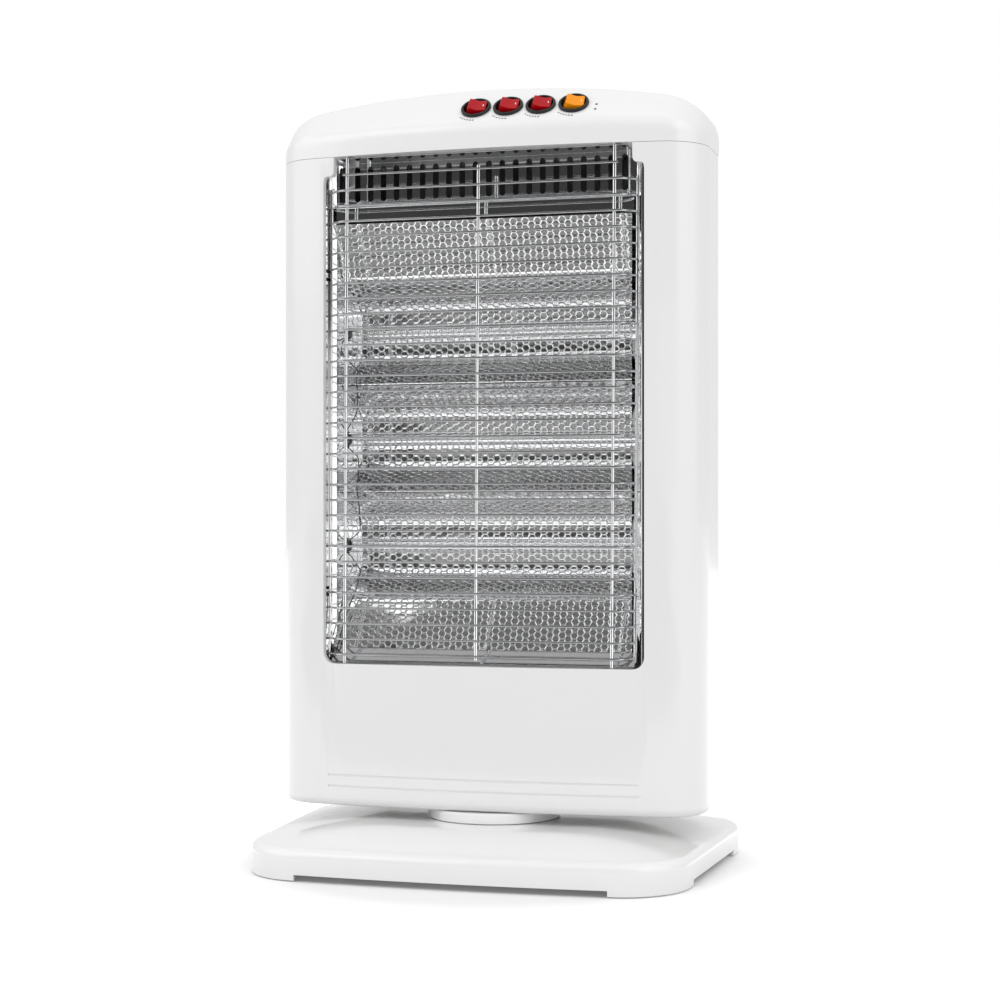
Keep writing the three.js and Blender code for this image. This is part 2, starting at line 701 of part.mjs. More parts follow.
function buildSwitchHousing(index) {
  const outline = [
    [POCKET_RADIUS, CLEARANCE + BEZEL_HEIGHT],
    [POCKET_RADIUS, -POCKET_DEPTH],
    [0, -POCKET_DEPTH],
    [0, -BARREL_DEPTH],
    [BARREL_RADIUS, -BARREL_DEPTH],
    [BARREL_RADIUS, CLEARANCE],
    [BEZEL_RADIUS, CLEARANCE],
    [BEZEL_RADIUS - BEZEL_HEIGHT / 2, CLEARANCE + BEZEL_HEIGHT],
  ];
  const reach = BARREL_RADIUS + OVERRUN;
  const axleHole = cylinderAlongY(ROCKER_AXLE_RADIUS + CLEARANCE, -reach, reach, SCREW_SIDES);
  const housing = solidOf(turned(outline)).subtract(solidOf(axleHole.translate(0, 0, -ROCKER_PIVOT_DEPTH)));
  addPiece(`switch_housing_${index + 1}`, housing.transform(switchFrame(index).elements), MATT_BLACK);
}

function rockerProfile() {
  const halfSide = [
    [ROCKER_HALF_LENGTH * ROCKER_HEEL_SHARE, -ROCKER_HEEL_DEPTH],
    [ROCKER_HALF_LENGTH, -ROCKER_SKIRT_DEPTH],
    [ROCKER_HALF_LENGTH, 0],
    [ROCKER_TOP_HALF_LENGTH, ROCKER_END_HEIGHT],
  ];
  const right = halfSide.map(([a, b]) => new THREE.Vector2(a, b));
  const left = halfSide.reverse().map(([a, b]) => new THREE.Vector2(-a, b));
  return new THREE.Shape([...right, new THREE.Vector2(0, ROCKER_MIDDLE_HEIGHT), ...left]);
}

function buildRocker(index) {
  const wedge = prismAlongY(rockerProfile(), -ROCKER_HALF_WIDTH, ROCKER_HALF_WIDTH);
  const plan = uprightCylinder(
    ROCKER_HALF_LENGTH, -ROCKER_HEEL_DEPTH - OVERRUN, ROCKER_END_HEIGHT + OVERRUN);
  const axle = cylinderAlongY(ROCKER_AXLE_RADIUS, -ROCKER_AXLE_HALF, ROCKER_AXLE_HALF, SCREW_SIDES);
  const tilt = new THREE.Matrix4().makeRotationY(degrees(ROCKER_TILT_ANGLE));
  const pivot = new THREE.Matrix4().makeTranslation(0, 0, -ROCKER_PIVOT_DEPTH);
  const place = switchFrame(index).multiply(pivot).multiply(tilt);
  const rocker = solidOf(wedge).intersect(solidOf(plan)).add(solidOf(axle)).transform(place.elements);
  const last = index === SWITCH_COUNT - 1;
  addPiece(`rocker_${index + 1}`, rocker, finish(last ? AMBER : RED, 0.2, 0));
}

// Sheet-metal lining

const panelSlope = (PANEL_BACK_X - PANEL_FRONT_X) / (PANEL_KNEE_Y - WINDOW_LIP_BACK_Y);
const panelFrontY = WINDOW_LIP_BACK_Y + CLEARANCE;
const panelBackY = REFLECTOR_BACK_Y + SHEET + CLEARANCE;
const ventTopZ = SEAM_Z - CLEARANCE / 2;

function panelInnerX(y) {
  return PANEL_FRONT_X + panelSlope * (y - WINDOW_LIP_BACK_Y);
}

function tubeZ(index) {
  return TUBE_TOP_Z - index * TUBE_PITCH;
}

const ceramicInnerX = panelInnerX(TUBE_Y - CERAMIC_SIZE / 2) + SHEET + 2 * CLEARANCE;
const ceramicOuterX = ceramicInnerX + CERAMIC_LENGTH;
const tubeHalf = ceramicInnerX + CERAMIC_BORE_DEPTH - CLEARANCE;
const leadZ = (index) => tubeZ(index) - LEAD_DROP;

function sidePanelSolid() {
  const line = [
    [panelInnerX(panelFrontY), panelFrontY],
    [PANEL_BACK_X, PANEL_KNEE_Y],
    [PANEL_BACK_X, panelBackY],
    [PANEL_SEAT_X, panelBackY],
  ];
  let panel = solidOf(prismUp(sheetShape(line, SHEET), PANEL_BOTTOM_Z, ventTopZ));
  for (let i = 0; i < TUBE_COUNT; i += 1) {
    const hole = cylinderAlongX(TUBE_RADIUS + RUNNING_GAP, PANEL_SEAT_X, ceramicOuterX);
    panel = panel.subtract(solidOf(hole.translate(0, TUBE_Y, tubeZ(i))));
  }
  return panel;
}

function leadHole(index) {
  const hole = cylinderAlongX(LEAD_HOLE_RADIUS, PANEL_SEAT_X, ceramicOuterX, SCREW_SIDES);
  return solidOf(hole.translate(0, TUBE_Y, leadZ(index)));
}

function buildSidePanels() {
  let panel = sidePanelSolid();
  addPiece("side_panel_right", panel, POLISHED);
  for (let i = 0; i < TUBE_COUNT; i += 1) {
    panel = panel.subtract(leadHole(i));
  }
  addPiece("side_panel_left", panel.mirror([1, 0, 0]), POLISHED);
}

function reflectorLine(index) {
  const middle = tubeZ(index);
  const half = (TUBE_PITCH - REFLECTOR_RIDGE_GAP) / 2;
  const line = [
    [REFLECTOR_RIDGE_Y, middle + half],
    [REFLECTOR_BACK_Y, middle + REFLECTOR_FLAT_HALF],
    [REFLECTOR_BACK_Y, middle - REFLECTOR_FLAT_HALF],
    [REFLECTOR_RIDGE_Y, middle - half],
  ];
  if (index === 0) {
    line.unshift([FLARE_TOP_Y, FLARE_TOP_Z]);
  }
  if (index === TUBE_COUNT - 1) {
    line.push([FLARE_BOTTOM_Y, FLARE_BOTTOM_Z]);
  }
  return line;
}

function buildReflectors() {
  for (let i = 0; i < TUBE_COUNT; i += 1) {
    const shape = sheetShape(reflectorLine(i), -SHEET);
    addPiece(`reflector_${i + 1}`, prismAlongX(shape, -REFLECTOR_HALF, REFLECTOR_HALF), POLISHED);
  }
}

function buildVentPanel() {
  const half = panelInnerX(VENT_Y + SHEET) - CLEARANCE;
  const foldZ = VENT_BOTTOM_Z - VENT_FOLD_DROP;
  const line = [
    [VENT_Y, ventTopZ],
    [VENT_Y, VENT_BOTTOM_Z],
    [VENT_FOLD_Y, foldZ],
    [VENT_FOLD_Y, VENT_LIP_Z],
  ];
  let panel = solidOf(prismAlongX(sheetShape(line, -SHEET), -half, half));
  for (const [low, high] of [[-half - OVERRUN, -VENT_FOLD_HALF], [VENT_FOLD_HALF, half + OVERRUN]]) {
    const corner = boxBetween(
      [low, VENT_FOLD_Y - OVERRUN, VENT_LIP_Z - OVERRUN], [high, VENT_Y - CLEARANCE, ventTopZ + OVERRUN]);
    panel = panel.subtract(solidOf(corner));
  }
  for (let i = 0; i < VENT_SLOT_COUNT; i += 1) {
    const x = (i - (VENT_SLOT_COUNT - 1) / 2) * VENT_SLOT_PITCH;
    const slot = obround(VENT_SLOT_WIDTH, VENT_SLOT_BOTTOM_Z, VENT_SLOT_TOP_Z, x);
    panel = panel.subtract(solidOf(prismAlongY(slot, VENT_Y - OVERRUN, VENT_Y + OVERRUN, SLOT_DIVISIONS)));
  }
  addPiece("vent_panel", panel, POLISHED);
}

function buildBottomTray() {
  const seatZ = WINDOW_BOTTOM_Z + CLEARANCE + SHEET;
  const line = [
    [WINDOW_LIP_BACK_Y - TRAY_SEAT, seatZ],
    [panelFrontY, seatZ],
    [FLARE_BOTTOM_Y - CLEARANCE, FLARE_BOTTOM_Z - CLEARANCE],
  ];
  addPiece("bottom_tray", prismAlongX(sheetShape(line, SHEET), -TRAY_HALF, TRAY_HALF), POLISHED);
}

// Quartz heating elements

function buildTube(index) {
  const bore = TUBE_RADIUS - TUBE_WALL;
  const wall = [[bore, -tubeHalf], [TUBE_RADIUS, -tubeHalf], [TUBE_RADIUS, tubeHalf], [bore, tubeHalf]];
  const tube = turned(wall, ELEMENT_SIDES).rotateY(Math.PI / 2).translate(0, TUBE_Y, tubeZ(index));
  addPiece(`quartz_tube_${index + 1}`, tube, finish(QUARTZ, 0.08, 0));
  const coil = cylinderAlongX(COIL_RADIUS, -tubeHalf, tubeHalf, SCREW_SIDES);
  addPiece(`heating_coil_${index + 1}`, coil.translate(0, TUBE_Y, tubeZ(index)), PLAIN_STEEL);
}

function buildCeramicCaps(index) {
  const half = CERAMIC_SIZE / 2;
  const block = solidOf(boxBetween([ceramicInnerX, -half, -half], [ceramicOuterX, half, half]));
  const bore = cylinderAlongX(
    TUBE_RADIUS + CLEARANCE, ceramicInnerX - OVERRUN, ceramicInnerX + CERAMIC_BORE_DEPTH);
  const right = block.subtract(solidOf(bore)).translate([0, TUBE_Y, tubeZ(index)]);
  addPiece(`ceramic_cap_right_${index + 1}`, right, finish(CERAMIC, 0.6, 0));
  addPiece(`ceramic_cap_left_${index + 1}`, right.mirror([1, 0, 0]), finish(CERAMIC, 0.6, 0));
}

// A supply wire: out of the ceramic cap, in through the panel and down behind the reflector ends.
function buildLead(index) {
  const outerX = -(ceramicInnerX + ceramicOuterX) / 2;
  const gapX = -(PANEL_BACK_X + REFLECTOR_HALF) / 2;
  const startZ = tubeZ(index) - CERAMIC_SIZE / 2 - CLEARANCE;
  const runY = LEAD_FIRST_Y + (TUBE_COUNT - 1 - index) * LEAD_PITCH;
  const corners = [
    [outerX, TUBE_Y, startZ],
    [outerX, TUBE_Y, leadZ(index) + LEAD_BEND],
    [outerX + LEAD_BEND, TUBE_Y, leadZ(index)],
    [gapX, TUBE_Y, leadZ(index)],
    [gapX, runY, leadZ(index) - LEAD_BEND],
    [gapX, runY, terminalTopZ + CLEARANCE],
  ];
  const wire = bentWire(corners.map((corner) => new THREE.Vector3(...corner)), LEAD_RADIUS);
  addPiece(`element_lead_${index + 1}`, wire, finish(WIRE, 0.6, 0));
}

// Wire guard

const guardPostY = GUARD_FRONT_Y + GUARD_WIRE_RADIUS + GUARD_POST_RADIUS - GUARD_WELD;

function guardWireZ(index) {
  return GUARD_TOP_Z - index * GUARD_WIRE_PITCH;
}

function guardPost(x, y, lowZ, highZ) {
  return solidOf(uprightCylinder(GUARD_POST_RADIUS, lowZ, highZ, WIRE_SIDES).translate(x, y, 0));
}

function levelWire(corners, z) {
  return solidOf(bentWire(corners.map(([x, y]) => new THREE.Vector3(x, y, z)), GUARD_WIRE_RADIUS));
}

function buildWireGuard() {
  const lastZ = guardWireZ(GUARD_WIRE_COUNT - 1);
  const shortHalf = GUARD_POST_X + GUARD_POST_OVERHANG;
  const bent = [
    [-GUARD_SIDE_HALF, GUARD_SIDE_Y],
    [-GUARD_FRONT_HALF, GUARD_FRONT_Y],
    [GUARD_FRONT_HALF, GUARD_FRONT_Y],
    [GUARD_SIDE_HALF, GUARD_SIDE_Y],
  ];
  const wires = [levelWire([[-shortHalf, GUARD_FRONT_Y], [shortHalf, GUARD_FRONT_Y]], guardWireZ(0))];
  for (let i = 1; i < GUARD_WIRE_COUNT; i += 1) {
    wires.push(levelWire(bent, guardWireZ(i)));
  }
  const lipZ = WINDOW_BOTTOM_Z + CLEARANCE;
  const postBottomZ = lastZ - GUARD_POST_OVERHANG;
  const posts = [guardPost(0, guardPostY, postBottomZ, guardWireZ(0) + GUARD_POST_OVERHANG)];
  for (const side of [-1, 1]) {
    const sideTopZ = guardWireZ(1) + GUARD_POST_OVERHANG;
    posts.push(guardPost(side * GUARD_POST_X, guardPostY, lipZ, SEAM_Z + CAP_LEDGE));
    posts.push(guardPost(side * GUARD_SIDE_HALF, GUARD_SIDE_Y, postBottomZ, sideTopZ));
  }
  addPiece("wire_guard", joined(...wires, ...posts), finish(BRIGHT, 0.18, 1));
}

// Screws, drawn with the head below and the shank upward

function screwShape(length) {
  const outline = [
    [0, -SCREW_HEAD_HEIGHT],
    [SCREW_HEAD_RADIUS, -SCREW_HEAD_HEIGHT],
    [SCREW_HEAD_RADIUS, 0],
    [SCREW_RADIUS, 0],
    [SCREW_RADIUS, length],
    [0, length],
  ];
  return turned(outline, SCREW_SIDES);
}

function buildRearScrews() {
  rearScrewPlaces().forEach(([x, z], i) => {
    const screw = screwShape(SCREW_LENGTH).rotateX(Math.PI / 2);
    addPiece(`rear_screw_${i + 1}`, screw.translate(x, rearOuterY + CLEARANCE, z), PLAIN_STEEL);
  });
}

// Pieces inside the body

const floorZ = BODY_BOTTOM_Z + BOTTOM_EDGE_RADIUS + CLEARANCE;
const floorTopZ = floorZ + FLOOR_THICKNESS;
const terminalTopZ = floorTopZ + CLEARANCE + TERMINAL_SIZE[2];

function standingBox(size, x) {
  const [width, depth, height] = size;
  const low = floorTopZ + CLEARANCE;
  return boxBetween(
    [x - width / 2, INNER_PARTS_Y - depth / 2, low],
    [x + width / 2, INNER_PARTS_Y + depth / 2, low + height]);
}

function buildBodyFloor() {
  const rings = [ringAt(bodyOutline(FLOOR_INSET), floorZ), ringAt(bodyOutline(FLOOR_INSET), floorTopZ)];
  const wireHole = uprightCylinder(FLOOR_WIRE_RADIUS, floorZ - OVERRUN, floorTopZ + OVERRUN);
  const plate = solidOf(loft(rings, withoutZ)).subtract(solidOf(wireHole));
  addPiece("body_floor", plate, finish(WHITE, 0.5, 0));
}

function buildInnerParts() {
  addPiece("tilt_switch", standingBox(TILT_SWITCH_SIZE, TILT_SWITCH_X), MATT_BLACK);
  addPiece("terminal_block", standingBox(TERMINAL_SIZE, TERMINAL_X), finish(NYLON, 0.6, 0));
  const cutoutY = REFLECTOR_BACK_Y + SHEET + CLEARANCE;
  const cutout = cylinderAlongY(CUTOUT_RADIUS, cutoutY, cutoutY + CUTOUT_THICKNESS);
  addPiece("thermal_cutout", cutout.translate(CUTOUT_X, 0, tubeZ(0)), PLAIN_STEEL);
}

function buildCordGland() {
  const outline = [
    [GLAND_BORE_RADIUS, -GLAND_TAIL - BODY_WALL],
    [GLAND_BARREL_RADIUS, -GLAND_TAIL - BODY_WALL],
    [GLAND_BARREL_RADIUS, CLEARANCE],
    [GLAND_FLANGE_RADIUS, CLEARANCE],
    [GLAND_FLANGE_RADIUS, CLEARANCE + GLAND_FLANGE],
    [GLAND_BORE_RADIUS, CLEARANCE + GLAND_FLANGE],
  ];
  const gland = turned(outline, ELEMENT_SIDES).rotateX(-Math.PI / 2);
  addPiece("cord_gland", gland.translate(GLAND_X, rearOuterY, GLAND_Z), MATT_BLACK);
}

// Oscillating joint

const washerZ = BASE_TOP_Z + CLEARANCE;
const collarSeatZ = washerZ + WASHER_THICKNESS + CLEARANCE;
const spigotZ = BASE_TOP_Z - SPIGOT_DROP;
const retainerTopZ = spigotZ - CLEARANCE;
const retainerZ = retainerTopZ - RETAINER_THICKNESS;
const retainerScrewRadius = (SPIGOT_RADIUS + SPIGOT_BORE_RADIUS) / 2;
const crankRadius = MOTOR_OFFSET * Math.tan(degrees(SWING_ANGLE));
const plateTopZ = PLATE_Z + PLATE_THICKNESS;
const motorZ = plateTopZ + CLEARANCE;
const motorTopZ = motorZ + MOTOR_HEIGHT;
const crankZ = motorTopZ + RUNNING_GAP;

function retainerScrewPlaces() {
  const places = [];
  for (let i = 0; i < RETAINER_SCREW_COUNT; i += 1) {
    const turn = 2 * Math.PI * i / RETAINER_SCREW_COUNT;
    places.push([retainerScrewRadius * Math.cos(turn), retainerScrewRadius * Math.sin(turn)]);
  }
  return places;
}

function buildCollar() {
  const rimZ = BASE_TOP_Z + COLLAR_RIM_GAP;
  const topZ = floorZ - CLEARANCE;
  const outline = [
    [SPIGOT_BORE_RADIUS, spigotZ],
    [SPIGOT_RADIUS, spigotZ],
    [SPIGOT_RADIUS, collarSeatZ],
    [COLLAR_RADIUS - COLLAR_RIM, collarSeatZ],
    [COLLAR_RADIUS - COLLAR_RIM, rimZ],
    [COLLAR_RADIUS, rimZ],
    [COLLAR_RADIUS, BODY_BOTTOM_Z - CLEARANCE],
    [COLLAR_NECK_RADIUS, BODY_BOTTOM_Z - CLEARANCE],
    [COLLAR_NECK_RADIUS, topZ],
    [SPIGOT_BORE_RADIUS, topZ],
  ];
  let collar = solidOf(turned(outline, COLLAR_SIDES));
  for (const [x, y] of retainerScrewPlaces()) {
    const hole = uprightCylinder(
      screwHoleRadius, spigotZ - OVERRUN, spigotZ + RETAINER_SCREW_DEPTH, SCREW_SIDES);
    collar = collar.subtract(solidOf(hole.translate(x, y, 0)));
  }
  addPiece("turntable_collar", collar, GLOSS_WHITE);
}

function buildBearingWasher() {
  const outline = [
    [SPIGOT_RADIUS + RUNNING_GAP, washerZ],
    [WASHER_RADIUS, washerZ],
    [WASHER_RADIUS, washerZ + WASHER_THICKNESS],
    [SPIGOT_RADIUS + RUNNING_GAP, washerZ + WASHER_THICKNESS],
  ];
  addPiece("bearing_washer", turned(outline), finish(NYLON, 0.5, 0));
}

function buildRetainer() {
  const ring = solidOf(uprightCylinder(RETAINER_RADIUS, retainerZ, retainerTopZ));
  const arm = solidOf(boxBetween(
    [-RETAINER_ARM_HALF, 0, retainerZ], [RETAINER_ARM_HALF, RETAINER_ARM_LENGTH, retainerTopZ]));
  const bore = solidOf(uprightCylinder(SPIGOT_BORE_RADIUS, retainerZ - OVERRUN, retainerTopZ + OVERRUN));
  const slotHalf = CRANK_PIN_RADIUS + CRANK_SLOT_GAP;
  const nearest = MOTOR_OFFSET / Math.cos(degrees(SWING_ANGLE));
  const slot = solidOf(boxBetween(
    [-slotHalf, nearest - slotHalf, retainerZ - OVERRUN],
    [slotHalf, MOTOR_OFFSET + crankRadius + slotHalf, retainerTopZ + OVERRUN]));
  let plate = cut(joined(ring, arm), bore, slot);
  for (const [x, y] of retainerScrewPlaces()) {
    const hole = uprightCylinder(screwHoleRadius, retainerZ - OVERRUN, retainerTopZ + OVERRUN, SCREW_SIDES);
    plate = plate.subtract(solidOf(hole.translate(x, y, 0)));
  }
  addPiece("retaining_plate", plate, PLAIN_STEEL);
  retainerScrewPlaces().forEach(([x, y], i) => {
    const length = RETAINER_THICKNESS + RETAINER_SCREW_DEPTH - CLEARANCE;
    const screw = screwShape(length).translate(x, y, retainerZ - CLEARANCE);
    addPiece(`retaining_screw_${i + 1}`, screw, PLAIN_STEEL);
  });
}

function buildSwingMotor() {
  const can = solidOf(uprightCylinder(MOTOR_RADIUS, motorZ, motorTopZ));
  const shaft = solidOf(uprightCylinder(
    MOTOR_SHAFT_RADIUS, motorTopZ - OVERRUN, motorTopZ + MOTOR_SHAFT_LENGTH, SCREW_SIDES));
  const ears = solidOf(boxBetween(
    [-MOTOR_EAR_REACH, -MOTOR_EAR_HALF, motorZ],
    [MOTOR_EAR_REACH, MOTOR_EAR_HALF, motorZ + MOTOR_EAR_THICKNESS]));
  addPiece("swing_motor", joined(can, shaft, ears).translate([0, MOTOR_OFFSET, 0]), PLAIN_STEEL);
}

function buildSwingCrank() {
  const disc = solidOf(uprightCylinder(crankRadius + CRANK_RIM, crankZ, crankZ + CRANK_THICKNESS));
  const bore = solidOf(uprightCylinder(
    MOTOR_SHAFT_RADIUS + CLEARANCE, crankZ - OVERRUN, crankZ + OVERRUN, SCREW_SIDES));
  const pinTop = retainerTopZ + CRANK_PIN_STANDOUT;
  const pin = uprightCylinder(CRANK_PIN_RADIUS, crankZ, pinTop, ELEMENT_SIDES).translate(0, crankRadius, 0);
  const crank = joined(disc.subtract(bore), solidOf(pin)).translate([0, MOTOR_OFFSET, 0]);
  addPiece("swing_crank", crank, finish(NYLON, 0.5, 0));
}

// Stand

const baseSlope = 2 * BASE_BOW * BASE_ARC_START_X / BASE_BOW_HALF ** 2;
const baseArcTurn = Math.atan(baseSlope);
const baseArcCentre = new THREE.Vector2(
  BASE_ARC_START_X - BASE_ARC_RADIUS * Math.sin(baseArcTurn),
  -BASE_HALF_DEPTH + BASE_BOW * (BASE_ARC_START_X / BASE_BOW_HALF) ** 2
    + BASE_ARC_RADIUS * Math.cos(baseArcTurn));

const baseHalf = baseArcCentre.x + BASE_ARC_RADIUS;

function baseOutline(inset) {
  const quarter = [];
  for (let i = 0; i < FRONT_STEPS; i += 1) {
    const x = BASE_ARC_START_X * i / FRONT_STEPS;
    quarter.push(new THREE.Vector2(x, -BASE_HALF_DEPTH + BASE_BOW * (x / BASE_BOW_HALF) ** 2 + inset));
  }
  const reach = BASE_ARC_RADIUS - inset;
  for (let i = 0; i <= ARC_STEPS; i += 1) {
    const heading = baseArcTurn + (Math.PI / 2 - baseArcTurn) * i / ARC_STEPS;
    quarter.push(new THREE.Vector2(
      baseArcCentre.x + reach * Math.sin(heading), baseArcCentre.y - reach * Math.cos(heading)));
  }
  const rear = [...quarter].reverse().map((point) => new THREE.Vector2(point.x, -point.y));
  const half = [...quarter, ...rear].map((point) => (
    new THREE.Vector2(point.x * (1 + BASE_TAPER_SHARE * point.y / BASE_HALF_DEPTH), point.y)));
  return mirroredRing(half);
}

function baseBlock(inset, bottomZ) {
  const rings = [
    ringAt(baseOutline(inset + BASE_SKIRT_DRAFT), bottomZ),
    ringAt(baseOutline(inset), BASE_SKIRT_TOP_Z),
  ];
  const radius = BASE_EDGE_RADIUS - inset;
  for (let i = 1; i <= EDGE_STEPS; i += 1) {
    const turn = Math.PI / 2 * i / EDGE_STEPS;
    const z = BASE_SKIRT_TOP_Z + radius * Math.sin(turn);
    rings.push(ringAt(baseOutline(inset + radius * (1 - Math.cos(turn))), z));
  }
  const plateau = baseOutline(0).map((point) => point.clone().multiplyScalar(BASE_PLATEAU_SHARE));
  rings.push(ringAt(plateau, BASE_TOP_Z - inset));
  return solidOf(loft(rings, withoutZ));
}

function cornerPlaces(sideInset, endInset) {
  const x = baseHalf - sideInset;
  const y = BASE_HALF_DEPTH - endInset;
  return [[-x, -y], [x, -y], [x, y], [-x, y]];
}

function baseScrewPlaces() {
  return cornerPlaces(BASE_SCREW_SIDE_INSET, BASE_SCREW_END_INSET);
}

function buildBaseCover() {
  const outer = baseBlock(0, BASE_GROUND_GAP);
  const inner = baseBlock(BASE_WALL, BASE_GROUND_GAP - OVERRUN);
  const bosses = baseScrewPlaces().map(([x, y]) => {
    const boss = uprightCylinder(BASE_BOSS_RADIUS, plateTopZ + CLEARANCE, BASE_TOP_Z, ELEMENT_SIDES);
    const hole = uprightCylinder(
      screwHoleRadius, PLATE_Z - OVERRUN, PLATE_Z + SCREW_LENGTH + CLEARANCE, SCREW_SIDES);
    return solidOf(boss).subtract(solidOf(hole)).translate([x, y, 0]);
  });
  const reach = BASE_BOW_HALF + OVERRUN;
  const frontNotch = solidOf(boxBetween(
    [-BASE_NOTCH_FRONT_HALF, -reach, -OVERRUN], [BASE_NOTCH_FRONT_HALF, reach, BASE_NOTCH_Z]));
  const sideNotch = solidOf(boxBetween(
    [-reach, -BASE_NOTCH_SIDE_HALF, -OVERRUN], [reach, BASE_NOTCH_SIDE_HALF, BASE_NOTCH_Z]));
  const bearing = solidOf(uprightCylinder(SPIGOT_RADIUS + RUNNING_GAP, 0, BASE_TOP_Z + OVERRUN));
  const shell = cut(joined(cut(outer, inner), ...bosses).intersect(outer), frontNotch, sideNotch, bearing);
  addPiece("base_cover", shell, GLOSS_WHITE);
}

function buildBasePlate() {
  const outline = baseOutline(BASE_WALL + BASE_SKIRT_DRAFT + CLEARANCE);
  let plate = solidOf(loft([ringAt(outline, PLATE_Z), ringAt(outline, plateTopZ)], withoutZ));
  for (const [x, y] of baseScrewPlaces()) {
    const hole = uprightCylinder(screwHoleRadius, PLATE_Z - OVERRUN, plateTopZ + OVERRUN, SCREW_SIDES);
    plate = plate.subtract(solidOf(hole.translate(x, y, 0)));
  }
  addPiece("base_plate", plate, PLAIN_STEEL);
}

function buildBaseFixings() {
  baseScrewPlaces().forEach(([x, y], i) => {
    const screw = screwShape(SCREW_LENGTH).translate(x, y, PLATE_Z - CLEARANCE);
    addPiece(`base_screw_${i + 1}`, screw, PLAIN_STEEL);
  });
  cornerPlaces(FOOT_SIDE_INSET, FOOT_END_INSET).forEach(([x, y], i) => {
    const foot = uprightCylinder(FOOT_RADIUS, 0, PLATE_Z - CLEARANCE, ELEMENT_SIDES);
    addPiece(`base_foot_${i + 1}`, foot.translate(x, y, 0), finish(RUBBER, 0.85, 0));
  });
}

buildBaseCover();
buildBasePlate();
buildBaseFixings();
buildSwingMotor();
buildSwingCrank();
buildBearingWasher();
buildCollar();
buildRetainer();
buildBodyFloor();
buildFrontFrame();
buildRearShell();
buildRearScrews();
buildTopCap();
buildSidePanels();
buildReflectors();
buildVentPanel();
buildBottomTray();
buildWireGuard();
buildInnerParts();
buildCordGland();
for (let i = 0; i < TUBE_COUNT; i += 1) {
  buildTube(i);
  buildCeramicCaps(i);
  buildLead(i);
}
for (let i = 0; i < SWITCH_COUNT; i += 1) {
  buildSwitchHousing(i);
  buildRocker(i);
}

export default heater;
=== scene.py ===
"""Portable quartz heater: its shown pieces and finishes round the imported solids, and the studio.

Shapes are drawn in millimetres, +Z up and the window toward -Y, and brought to metres when a
piece is placed.
"""

import logging
import math
from collections.abc import Callable, Iterable, Mapping, Sequence
from dataclasses import dataclass, replace
from enum import Enum

import bmesh
import bpy
from bmesh.types import BMEdge, BMesh, BMFace, BMVert
from mathutils import Matrix, Vector


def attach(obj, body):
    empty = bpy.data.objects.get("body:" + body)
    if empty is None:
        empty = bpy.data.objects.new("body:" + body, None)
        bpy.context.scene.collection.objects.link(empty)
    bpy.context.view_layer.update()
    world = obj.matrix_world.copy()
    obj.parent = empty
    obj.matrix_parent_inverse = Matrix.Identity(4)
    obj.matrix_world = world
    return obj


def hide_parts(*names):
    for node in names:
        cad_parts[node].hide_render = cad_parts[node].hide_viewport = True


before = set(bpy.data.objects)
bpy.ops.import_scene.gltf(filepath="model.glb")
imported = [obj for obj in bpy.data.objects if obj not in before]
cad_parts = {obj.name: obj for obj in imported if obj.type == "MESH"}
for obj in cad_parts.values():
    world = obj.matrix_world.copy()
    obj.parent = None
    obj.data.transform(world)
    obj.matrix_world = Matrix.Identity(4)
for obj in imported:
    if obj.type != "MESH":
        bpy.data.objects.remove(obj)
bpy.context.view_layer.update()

LOG = logging.getLogger("quartz_heater")
MM = 0.001
CLEARANCE = 0.3
OVERRUN = 5.0
WELD = 0.0005
FOLD_STRIPS = 6
HOLE_SIDES = 24
ROUNDED_FROM = 40
UV_MAP = "UVMap"
FRONTWARD = Vector((0, -1, 0))
Node, Socket = bpy.types.Node, bpy.types.NodeSocket
Sockets = Mapping[str, Socket]
Point = tuple[float, float]
Triple = tuple[float, float, float]
Colour = Triple


class Body(Enum):
    """The moving bodies that pieces ride on."""

    STAND = "stand"
    HEAD = "head"
    ROCKER_1 = "switch_rocker_1"
    ROCKER_2 = "switch_rocker_2"
    ROCKER_3 = "switch_rocker_3"
    ROCKER_4 = "switch_rocker_4"


class Side(Enum):
    """Which side of the heater, seen from the front."""

    LEFT = -1
    RIGHT = 1


class Combine(Enum):
    """How one closed shape changes another."""

    CUT = "DIFFERENCE"
    JOIN = "UNION"
    COMMON = "INTERSECT"


# ---- Node graphs


